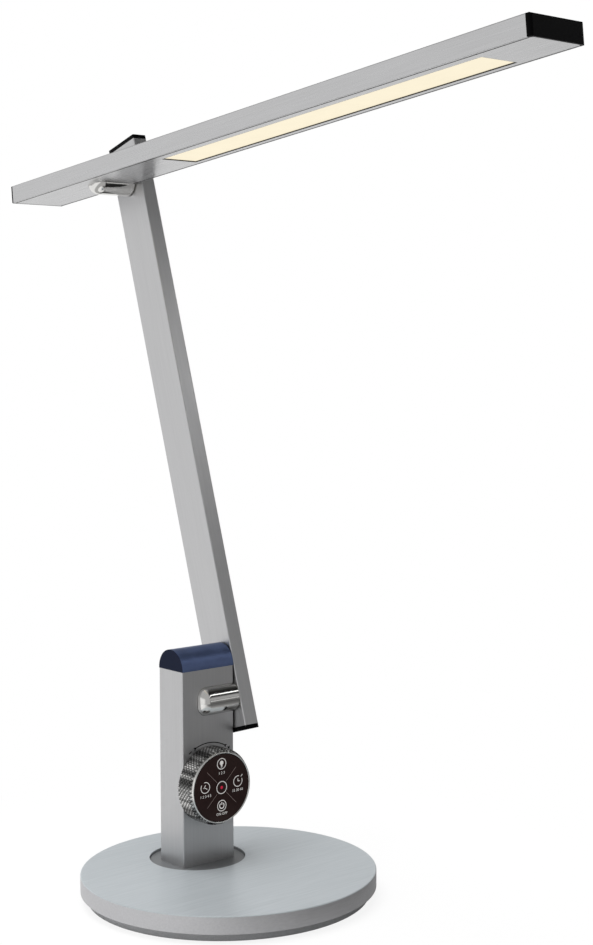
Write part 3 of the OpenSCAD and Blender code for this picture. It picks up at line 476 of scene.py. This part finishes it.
base_metal = start_finish("base_brushed", {})
on_top = axis_mask(base_metal, (0, 0, 1), top_mask_span)
streaks = pattern(base_metal, brush_cell(0, streak, base_streak_length))
hairs = pattern(base_metal, brush_cell(0, hair, base_hair_length), detail=2.0)
lines = between(base_metal, streaks, 0, 1)
top_blue = blend(base_metal, lines, photo_colour(191, 198, 202), photo_colour(203, 209, 213))
skirt_grey = blend(base_metal, lines, photo_colour(190, 190, 192), photo_colour(200, 200, 202))
feed(base_metal, "Base Color", blend(base_metal, on_top, skirt_grey, top_blue))
feed(base_metal, "Metallic", between(base_metal, on_top, 1.0, sealed_metallic, span=(0, 1)))
vary_roughness(base_metal, hairs, low=0.34, high=0.46)
raise_relief(base_metal, hairs, base_brush_depth)
dress(base_metal, "base_shell")

# %% [markdown]
# ### Bright metal
# The hinge barrels are polished and plated: nearly a mirror, with faint polishing haze. The dial's bezel
# has the same plating over a fine satin, so its reflections are a little softer.

# %% Chrome
haze_cell = even_cell(0.004)


def bright_metal(name, rough):
    """Plating whose roughness drifts with the polishing haze."""
    material = start_finish(name, {"Base Color": photo_colour(230, 229, 226), "Metallic": 1.0})
    haze = pattern(material, haze_cell, detail=4.0)
    vary_roughness(material, haze, *rough)
    return material


chrome = bright_metal("chrome", rough=(0.08, 0.14))
dress(chrome, "lower_barrel", "lower_barrel_tip", "upper_barrel", "upper_barrel_tip")
dress(bright_metal("satin_chrome", rough=(0.14, 0.2)), "dimmer_bezel")

# %% [markdown]
# The dimmer ring is bare knurled aluminium. Its long grooves are in the solid; two sets of slanting
# grooves cross them. A radial gradient counts the way round the ring and the dial's axis counts the depth.
# Their sum and their difference, folded into zigzags, are the two sets, and the lower of the two is the
# groove's depth.

# %% Grooves of the knurled ring
knurl_count = 55
knurl_pitch = 0.0028
knurl_depth = 0.00012
ridge_span = (0, 0.36)


def front_middle(node):
    """The middle of the side of a solid that faces the user."""
    low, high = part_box(node)
    return Vector(((low.x + high.x) / 2, low.y, (low.z + high.z) / 2))


knurl_metal = start_finish("knurled_aluminium", {"Metallic": 1.0})
knurl_tree = knurl_metal.node_tree
ring_place = knurl_tree.nodes.new("ShaderNodeTexCoord")
ring_lay = knurl_tree.nodes.new("ShaderNodeMapping")
ring_lay.vector_type = "TEXTURE"
ring_lay.inputs["Location"].default_value = front_middle("dimmer_ring")
ring_lay.inputs["Rotation"].default_value = (math.radians(90), 0, 0)
way_round = knurl_tree.nodes.new("ShaderNodeTexGradient")
way_round.gradient_type = "RADIAL"
knurl_tree.links.new(ring_place.outputs["Object"], ring_lay.inputs["Vector"])
knurl_tree.links.new(ring_lay.outputs["Vector"], way_round.inputs["Vector"])
steps_round = combine(knurl_tree, "MULTIPLY", way_round.outputs["Fac"], knurl_count)
depth_in = along(knurl_tree, ring_lay.outputs["Vector"], (0, 0, 1))
zigzags = []
for lean in (1, -1):
    steps_in = combine(knurl_tree, "MULTIPLY", depth_in, lean / knurl_pitch)
    zigzags.append(combine(knurl_tree, "PINGPONG", combine(knurl_tree, "ADD", steps_in, steps_round), 0.5))
groove = combine(knurl_tree, "MINIMUM", *zigzags)
ridge = between(knurl_metal, groove, 0, 1, ridge_span)
feed(knurl_metal, "Roughness", between(knurl_metal, ridge, low=0.45, high=0.18, span=(0, 1)))
raise_relief(knurl_metal, ridge, knurl_depth)
print(knurl_count, "slanting grooves each way")

# %% [markdown]
# A noise of one dimension, read along the way round, makes bands of painted glints across the ring. The
# grooves are painted darker as shade, and the ridges and the grooves each have a darker colour between the
# bands and a lighter one in them.

# %% Painted glints and groove shade of the knurled ring
glint_band_scale = 0.5
glint_band_span = (0.42, 0.62)
glint_bands = knurl_tree.nodes.new("ShaderNodeTexNoise")
glint_bands.noise_dimensions = "1D"
glint_bands.inputs["Scale"].default_value = glint_band_scale
glint_bands.inputs["Detail"].default_value = 1
knurl_tree.links.new(steps_round, glint_bands.inputs["W"])
glint_share = between(knurl_metal, glint_bands.outputs["Fac"], 0, 1, glint_band_span)
# Painted shade in the grooves, and painted glint bands on the grooves and the crests.
shaded_groove = blend(knurl_metal, glint_share, photo_colour(20, 20, 20), photo_colour(84, 83, 82))
glinting_crest = blend(knurl_metal, glint_share, photo_colour(116, 115, 114), photo_colour(240, 239, 237))
feed(knurl_metal, "Base Color", blend(knurl_metal, ridge, shaded_groove, glinting_crest))
dress(knurl_metal, "dimmer_ring")

# %% [markdown]
# ### Plastics
# The post's cap is moulded, with a metallic navy lacquer on its round and a dull left end; a mask along
# the post's width tells them apart. The lacquer is tinted metal, so its top takes the dark of the ceiling.

# %% Lacquered cap
cap_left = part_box("post_cap")[0].x
cap_mask_span = (cap_left + 0.0001, cap_left + 0.0003)
lacquer_metallic = 0.9


def moulded(name, colour, rough, grain, depth, sockets=None):
    """A moulded or painted surface with a speckle of this grain and depth in metres."""
    material = start_finish(name, sockets or {})
    speckle = pattern(material, even_cell(grain), detail=4.0)
    vary_colour(material, speckle, shade(colour, 0.88), shade(colour, 1.1))
    vary_roughness(material, speckle, *rough)
    raise_relief(material, speckle, depth)
    return material


navy = moulded(
    "navy_lacquer", photo_colour(101, 117, 157), rough=(0.38, 0.44), grain=0.006, depth=0.0000005,
    sockets={"Specular IOR Level": 0.06},
)
on_round = axis_mask(navy, (1, 0, 0), cap_mask_span)
feed(navy, "Metallic", between(navy, on_round, 0, lacquer_metallic, span=(0, 1)))
navy_shader = navy.node_tree.nodes["Principled BSDF"]
navy_round = navy_shader.inputs["Base Color"].links[0].from_socket
feed(navy, "Base Color", blend(navy, on_round, photo_colour(20, 28, 50), navy_round))
dress(navy, "post_cap")

# %% [markdown]
# The end caps are black with a fine spark-eroded grain. The pan under the shell and the turntable are
# satin grey, and the foot pad is soft rubber. They differ only in colour, sheen and grain, so one helper
# makes all.

# %% Black, grey and rubber
black = moulded(
    "black_satin", photo_colour(6, 6, 7), rough=(0.34, 0.46), grain=0.0006, depth=0.000012,
    sockets={"Specular IOR Level": 0.04},
)
dress(black, "arm_lower_cap", "arm_upper_cap", "head_rear_cap", "head_front_cap", "dial_hub", "inlet_jack")
pan_satin = moulded(
    "pan_satin", photo_colour(166, 167, 169), rough=(0.4, 0.52), grain=0.0008, depth=0.000012
)
dress(pan_satin, "base_pan")
turntable_paint = moulded(
    "turntable_paint", photo_colour(110, 112, 114), rough=(0.36, 0.46), grain=0.001, depth=0.000008
)
dress(turntable_paint, "turntable")
foot_rubber = moulded(
    "foot_rubber", photo_colour(30, 30, 31), rough=(0.75, 0.9), grain=0.0012, depth=0.00004
)
dress(foot_rubber, "foot_pad")

# %% [markdown]
# ### Dial glass, lens and light
# The touch glass is printed black-brown from behind, so it is a dark base under a clear hard surface. The
# indicator is a small lit red lens.

# %% Glass and lens
smear_cell = (0.012, 0.012, 0.006)
lens_cell = even_cell(0.0006)

glass = start_finish("dial_glass", {"IOR": 1.5, "Specular IOR Level": 0.4})
smear = pattern(glass, smear_cell)
vary_colour(glass, smear, photo_colour(42, 25, 23), photo_colour(49, 30, 28))
vary_roughness(glass, smear, low=0.05, high=0.12)
dress(glass, "touch_glass")

red = photo_colour(176, 28, 58)
deep_red = shade(red, 0.7)
lens = start_finish("indicator_red", {"Emission Strength": 0.7, "Roughness": 0.15})
inner = pattern(lens, lens_cell, detail=2.0)
vary_colour(lens, inner, deep_red, red)
vary_colour(lens, inner, deep_red, red, "Emission Color")
dress(lens, "indicator_lens")

# %% [markdown]
# The diffuser is opal acrylic with the light chips behind it: it glows warm white, very softly uneven, as
# chips behind opal do. Its own colour is dark, so that it shows its light and not the room's.

# %% Opal diffuser
chip_cell = (0.008, 0.009, 0.02)
warm = photo_colour(253, 242, 214)
opal = start_finish("opal_warm", {
    "Base Color": photo_colour(60, 58, 54),
    "Roughness": 0.5,
    "Specular IOR Level": 0.1,
    "Emission Strength": 0.94,
})
chips = pattern(opal, chip_cell, head_turn, detail=1.0)
vary_colour(opal, chips, shade(warm, 0.97), warm, "Emission Color")
dress(opal, "diffuser")

# %% [markdown]
# A snap-in diffuser is stepped: its pad stands down a little way into the window. The step is one flat
# block. It is built level, in millimetres from the head's hinge, and then laid on the leaning head.

# %% Pad of the diffuser
mm = 0.001
hinges = {joint["name"]: Vector(joint["pos_m"]) for joint in frame["joints"]}
head_plane = Matrix.Translation(hinges["head_tilt"]) @ Matrix.Rotation(-head_pitch, 4, "X")
plate_low = -2.6
plate_t = 1.0
window_middle = Vector((0.8, -230.5, plate_low))
window_w = 27.4
window_l = 285
pad_gap = 0.25
pad_low = 0.7
pad_high = 0.96


def block(bm, middle, size):
    """A level block by its middle and size in millimetres."""
    scale = Matrix.Diagonal((*[side * mm for side in size], 1))
    bmesh.ops.create_cube(bm, size=1, matrix=Matrix.Translation(Vector(middle) * mm) @ scale)


pad_middle = window_middle + Vector((0, 0, (pad_low + pad_high) / 2))
bm = bmesh.new()
block(bm, pad_middle, (window_w - 2 * pad_gap, window_l - 2 * pad_gap, pad_high - pad_low))
bmesh.ops.transform(bm, matrix=head_plane, verts=bm.verts)
pad = link_mesh("diffuser_pad", bm)
pad.data.materials.append(opal)
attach(pad, "head")
print("pad", round(pad_high - pad_low, 2), "mm thick")

# %% [markdown]
# The window's edge is lined with a thin dark strip that paints the shade in the gap between the diffuser and
# the plate. It is a loop of four edges, drawn out to the plate's thickness and then given its own thickness.

# %% Dark strip that paints the window's shade
shade_strip_t = 0.2
corner_signs = ((-1, -1), (1, -1), (1, 1), (-1, 1))
bm = bmesh.new()
corners = [
    bm.verts.new(Vector((x * window_w / 2, y * window_l / 2, 0)) * mm) for x, y in corner_signs
]
loop = [bm.edges.new((corners[i - 1], corners[i])) for i in range(len(corners))]
drawn = bmesh.ops.extrude_edge_only(bm, edges=loop)
lifted = [item for item in drawn["geom"] if isinstance(item, bmesh.types.BMVert)]
bmesh.ops.translate(bm, verts=lifted, vec=(0, 0, plate_t * mm))
bmesh.ops.recalc_face_normals(bm, faces=bm.faces)
bmesh.ops.solidify(bm, geom=bm.faces[:], thickness=shade_strip_t * mm)
bmesh.ops.translate(bm, verts=bm.verts, vec=window_middle * mm)
bmesh.ops.transform(bm, matrix=head_plane, verts=bm.verts)
bmesh.ops.recalc_face_normals(bm, faces=bm.faces)
window_shade = link_mesh("window_shade_strip", bm)
# A dark moulding that paints the shade in the window's gap and in the long joints.
painted_shade_strip = moulded(
    "painted_shade_strip", photo_colour(34, 32, 27), rough=(0.5, 0.7), grain=0.0008, depth=0.00001
)
window_shade.data.materials.append(painted_shade_strip)
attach(window_shade, "head")
print("lining of", len(window_shade.data.polygons), "faces")

# %% [markdown]
# The bottom plate lies between the housing's walls with a narrow joint on each long side. A black seal fills
# each joint and its thin lip covers both edges; the lip is a dark strip that paints the joint's shadow as a
# fine dark line.
# The seal on the right is in two lengths, before and behind the hinge barrel.

# %% Seals that paint the shadow in the long joints
joint_left = -19.2
joint_right = 18.8
joint_front = -411.5
joint_back = 82
barrel_gap = 10
joint_w = 0.56
joint_t = 0.3
lip_w = 1.0
lip_t = 0.03
lip_gap = 0.005
joint_runs = [
    (joint_left, joint_front, joint_back),
    (joint_right, joint_front, -barrel_gap),
    (joint_right, barrel_gap, joint_back),
]
bm = bmesh.new()
for x, run_from, run_to in joint_runs:
    middle = (run_from + run_to) / 2
    length = run_to - run_from
    block(bm, (x, middle, plate_low + joint_t / 2), (joint_w, length, joint_t))
    block(bm, (x, middle, plate_low - lip_gap - lip_t / 2), (lip_w, length, lip_t))
bmesh.ops.transform(bm, matrix=head_plane, verts=bm.verts)
shade_seals = link_mesh("joint_shade_seals", bm)
# The seals carry the dark strip's colour, painted shade along the joints.
shade_seals.data.materials.append(painted_shade_strip)
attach(shade_seals, "head")
print(len(joint_runs), "lengths of seal")

# %% [markdown]
# ### Inside
# What the casings hide still has its own finish, because the lamp can be taken apart. The screws, pins,
# springs and nuts are zinc plated, the inlet's pin is brass and the hinge blocks and cradles are die cast:
# all metal with a cloudy surface.

# %% Hidden metal
cloud_cell = even_cell(0.003)


def cloudy_metal(name, colour, rough):
    """Bare or plated metal whose colour and sheen drift in clouds."""
    material = start_finish(name, {"Metallic": 1.0})
    cloud = pattern(material, cloud_cell, detail=4.0)
    vary_colour(material, cloud, shade(colour, 0.9), shade(colour, 1.08))
    vary_roughness(material, cloud, *rough)
    return material


hinge_ends = ("lower", "upper")
hinge_steel = ("hinge_pin", "springs", "lock_nut", "saddle_screws")
steel_nodes = ["pan_screws", "swivel_stop_pin", "swivel_spring", "swivel_nut", "post_screws", "hub_nut"]
steel_nodes += [f"{end}_{piece}" for end in hinge_ends for piece in hinge_steel]
cast_nodes = [f"{end}_{piece}" for end in hinge_ends for piece in ("saddle", "hinge_block")]
dress(cloudy_metal("zinc_steel", photo_colour(176, 178, 182), rough=(0.25, 0.4)), *steel_nodes)
dress(cloudy_metal("brass_contact", photo_colour(214, 178, 96), rough=(0.2, 0.32)), "inlet_contact")
dress(cloudy_metal("die_cast", photo_colour(150, 151, 153), rough=(0.42, 0.58)), *cast_nodes)

# %% [markdown]
# The other hidden pieces are castings and mouldings: the ballast, the nylon bush and washers, the boards
# with their parts, the leads and the ring magnet. A table lists what sets each finish apart.

# %% Hidden castings and mouldings
hidden_finishes = {
    "cast_iron": {
        "colour": (66, 66, 68), "rough": (0.6, 0.8), "grain": 0.002, "depth": 0.00008,
        "on": ["base_weight"], "sockets": {"Metallic": 0.8},
    },
    "nylon": {
        "colour": (222, 219, 208), "rough": (0.45, 0.6), "grain": 0.001, "depth": 0.000015,
        "on": ["swivel_bush", "swivel_washer", "lower_washer", "upper_washer"],
    },
    "green_board": {
        "colour": (24, 92, 52), "rough": (0.25, 0.4), "grain": 0.003, "depth": 0.00001,
        "on": ["driver_board", "touch_board"],
    },
    "white_board": {
        "colour": (236, 236, 234), "rough": (0.35, 0.5), "grain": 0.003, "depth": 0.00001,
        "on": ["light_board"],
    },
    "black_moulding": {
        "colour": (34, 34, 36), "rough": (0.4, 0.55), "grain": 0.0008, "depth": 0.00001,
        "on": ["driver_parts"],
    },
    "red_insulation": {
        "colour": (150, 34, 32), "rough": (0.4, 0.5), "grain": 0.002, "depth": 0.00001,
        "on": ["base_leads", "post_leads", "arm_lead", "head_lead"],
    },
    "ferrite": {
        "colour": (58, 57, 58), "rough": (0.5, 0.65), "grain": 0.0006, "depth": 0.00001,
        "on": ["encoder_magnet"],
    },
    "phosphor": {
        "colour": (246, 214, 96), "rough": (0.3, 0.4), "grain": 0.0008, "depth": 0.00001,
        "on": ["light_chips"],
    },
}
for name, finish in hidden_finishes.items():
    surface = moulded(
        name, photo_colour(*finish["colour"]), finish["rough"], finish["grain"], finish["depth"],
        finish.get("sockets"),
    )
    dress(surface, *finish["on"])

# %% [markdown]
# ## Print on the dial
# The glass carries a fine white print: a ring round the indicator, four dividing lines, and four icons
# with a row of small figures or letters under each. A print is flat, but a decal needs some body to stay
# closed, so every mark is a thin plate that stands a few hundredths of a millimetre proud. Curved marks
# are one short edge, spun.

# %% Flat marks


def arc_mark(bm, middle, inner, outer, start=0, sweep=360, steps=48):
    """A flat ring, or a part of one: millimetres, and degrees from the right, turning left."""
    turn = math.radians(start)
    ends = []
    for radius in (inner, outer):
        place = (middle[0] + radius * math.cos(turn), middle[1] + radius * math.sin(turn), 0)
        ends.append(bm.verts.new(Vector(place) * mm))
    edge = bm.edges.new(ends)
    bmesh.ops.spin(
        bm, geom=[*ends, edge], cent=Vector((*middle, 0)) * mm, axis=(0, 0, 1), dvec=(0, 0, 0),
        angle=math.radians(sweep), steps=steps, use_merge=sweep == 360, use_duplicate=False,
    )


def bar_mark(bm, middle, length, width, turn=0):
    """A flat bar about its middle, turned in degrees."""
    place = Matrix.Translation(Vector((*middle, 0)) * mm) @ Matrix.Rotation(math.radians(turn), 4, "Z")
    size = Matrix.Diagonal((length * mm, width * mm, 1, 1))
    bmesh.ops.create_grid(bm, x_segments=1, y_segments=1, size=0.5, matrix=place @ size)


def disc_mark(bm, middle, radius):
    """A flat disc about its middle."""
    place = Matrix.Translation(Vector((*middle, 0)) * mm)
    bmesh.ops.create_circle(bm, cap_ends=True, segments=32, radius=radius * mm, matrix=place)


# %% [markdown]
# A finished print is raised from its flat marks in one extrusion, laid on the plane of the dial or the
# post, and rides on the body that it is printed on.

# %% Body of a print
print_height = 0.03 * mm
merge_reach = 1e-7
dial_middle = front_middle("touch_glass")
dial_plane = Matrix.Translation(dial_middle) @ Matrix.Rotation(math.radians(90), 4, "X")


def finish_print(name, bm, plane, body, ink):
    """Gives the flat marks their body, lays them on their plane and lets them ride."""
    bmesh.ops.remove_doubles(bm, verts=bm.verts, dist=merge_reach)
    bmesh.ops.recalc_face_normals(bm, faces=bm.faces)
    for face in bm.faces:
        if face.normal.z < 0:
            face.normal_flip()
    raised = bmesh.ops.extrude_face_region(bm, geom=bm.faces[:])
    lifted = [item for item in raised["geom"] if isinstance(item, bmesh.types.BMVert)]
    bmesh.ops.translate(bm, verts=lifted, vec=(0, 0, print_height))
    bmesh.ops.transform(bm, matrix=plane, verts=bm.verts)
    bmesh.ops.recalc_face_normals(bm, faces=bm.faces)
    piece = link_mesh(name, bm)
    piece.data.materials.append(ink)
    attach(piece, body)
    print(name, len(piece.data.polygons), "faces")


print("dial's middle", [round(place, 4) for place in dial_middle])

# %% [markdown]
# The ink is an off-white screen print, slightly uneven where the mesh of the screen let less through. The
# white marks have a faint glow of their own, a painted glow that makes them read brighter than print alone.
# The dividing lines are fainter, and the ink on the post is black.

# %% Inks
ink_cell = even_cell(0.0004)


def screen_ink(name, colour, glow=0.0):
    """An ink that covers unevenly and can have a painted glow of its own."""
    ink = start_finish(name, {
        "Roughness": 0.55, "Specular IOR Level": 0.2, "Emission Color": colour, "Emission Strength": glow,
    })
    cover = pattern(ink, ink_cell, detail=2.0)
    vary_colour(ink, cover, shade(colour, 0.82), colour)
    print("ink", name)
    return ink


# The white marks carry a painted glow.
white_ink = screen_ink("white_ink", photo_colour(246, 243, 240), glow=0.2)
faint_ink = screen_ink("faint_ink", photo_colour(150, 134, 130))
dark_ink = screen_ink("dark_ink", photo_colour(12, 12, 13))

# %% [markdown]
# The rings are full spins. The four dividing lines stand between the icons, at 45 degrees to them.

# %% Rings and dividing lines
icon_places = {"bulb": (0, 15.6), "timer": (13.2, 2), "power": (0, -11.9), "return": (-13.2, 2)}
icon_r = 3.7
stroke = 0.46
centre_r = 4.2
line_from = 5.2
line_to = 16.5
line_w = 0.28
bm = bmesh.new()
arc_mark(bm, (0, 0), centre_r - stroke, centre_r)
for name in ("bulb", "power"):
    arc_mark(bm, icon_places[name], icon_r - stroke, icon_r)
finish_print("dial_rings", bm, dial_plane, "post", white_ink)

bm = bmesh.new()
reach = (line_from + line_to) / 2
for turn in (45, 135, 225, 315):
    middle = (reach * math.cos(math.radians(turn)), reach * math.sin(math.radians(turn)))
    bar_mark(bm, middle, line_to - line_from, line_w, turn)
finish_print("dial_lines", bm, dial_plane, "post", faint_ink)

# %% [markdown]
# The icons are the common ones for such a lamp: a bulb for the light's colour, a clock with a hand for the
# timer, the power sign, and a turning arrow for the last setting. Each is drawn about its own middle.

# %% Icons
bm = bmesh.new()
x, y = icon_places["bulb"]
disc_mark(bm, (x, y + 0.6), radius=1.45)
bar_mark(bm, (x, y - 1.25), length=1.3, width=0.7)
bar_mark(bm, (x, y - 2.1), length=1.1, width=0.5)

x, y = icon_places["timer"]
arc_mark(bm, (x, y), icon_r - stroke, icon_r, start=75, sweep=310, steps=40)
bar_mark(bm, (x, y + 0.9), length=stroke, width=1.8)
bar_mark(bm, (x + 0.8, y), length=1.6, width=stroke)
bar_mark(bm, (x + 3.1, y + 3.3), length=1.9, width=stroke, turn=45)

x, y = icon_places["power"]
arc_mark(bm, (x, y), inner=1.45, outer=2.1, start=125, sweep=290, steps=36)
bar_mark(bm, (x, y + 1.5), length=0.6, width=1.9)

x, y = icon_places["return"]
arc_mark(bm, (x, y), icon_r - stroke, icon_r, start=165, sweep=300, steps=40)
bar_mark(bm, (x - 3.2, y + 1.2), length=1.8, width=stroke, turn=70)
bar_mark(bm, (x - 0.5, y + 0.7), length=2.6, width=stroke, turn=55)
bar_mark(bm, (x + 0.6, y - 0.6), length=2.2, width=stroke, turn=-35)
finish_print("dial_icons", bm, dial_plane, "post", white_ink)

# %% [markdown]
# Under each icon stands a short row of plain figures or letters. Text starts as a curve, so it is turned
# into a mesh before it is laid on the glass.

# %% Figures under the icons
figures = {"1 2 3": (0, 9.5), "15 30 60": (12.9, -3.8), "ON OFF": (0, -17.3), "1 2 3 4 5": (-12.9, -3.8)}
figure_height = 2.5
for words, (x, y) in figures.items():
    text = bpy.data.curves.new("figures", "FONT")
    text.body = words
    text.align_x = "CENTER"
    text.align_y = "CENTER"
    text.size = figure_height * mm
    text.resolution_u = 2
    written = bpy.data.objects.new("figures", text)
    bpy.context.scene.collection.objects.link(written)
    bpy.context.view_layer.update()
    bm = bmesh.new()
    bm.from_mesh(written.to_mesh())
    written.to_mesh_clear()
    bpy.data.objects.remove(written)
    bpy.data.curves.remove(text)
    bmesh.ops.translate(bm, verts=bm.verts, vec=Vector((x, y, 0)) * mm)
    row = "dial_figures_" + words.replace(" ", "_")
    finish_print(row, bm, dial_plane, "post", white_ink)

# %% [markdown]
# ## Print on the post
# Above the dial a printed arc with an arrow at each end shows that the ring turns, from a minus sign to a
# plus sign. Both signs stand square to the arc.

# %% Turning arc on the post
post_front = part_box("post_tube")[0].y
arc_middle = Vector((dial_middle.x, post_front, dial_middle.z))
post_plane = Matrix.Translation(arc_middle) @ Matrix.Rotation(math.radians(90), 4, "X")
arc_r = 26.9
arc_w = 0.65
arc_start = 58
arc_sweep = 57
arrow_l = 1.7
arrow_lean = 30
arrow_back = 1.2
arrow_aside = 0.45
sign_w = 2.4
minus_at = 123
plus_at = 52


def arc_point(degrees, radius=arc_r):
    """A place on the arc, or beside it."""
    return (radius * math.cos(math.radians(degrees)), radius * math.sin(math.radians(degrees)))


bm = bmesh.new()
arc_mark(bm, (0, 0), arc_r - arc_w / 2, arc_r + arc_w / 2, arc_start, arc_sweep, steps=24)
for end, lean in ((arc_start, 1), (arc_start + arc_sweep, -1)):
    for side in (-1, 1):
        barb = arc_point(end + lean * arrow_back, arc_r + side * arrow_aside)
        bar_mark(bm, barb, arrow_l, arc_w, end + 90 + lean * side * arrow_lean)
bar_mark(bm, arc_point(minus_at), sign_w, arc_w, minus_at - 90)
for turn in (plus_at - 90, plus_at):
    bar_mark(bm, arc_point(plus_at), sign_w, arc_w, turn)
finish_print("turning_arc", bm, post_plane, "post", dark_ink)
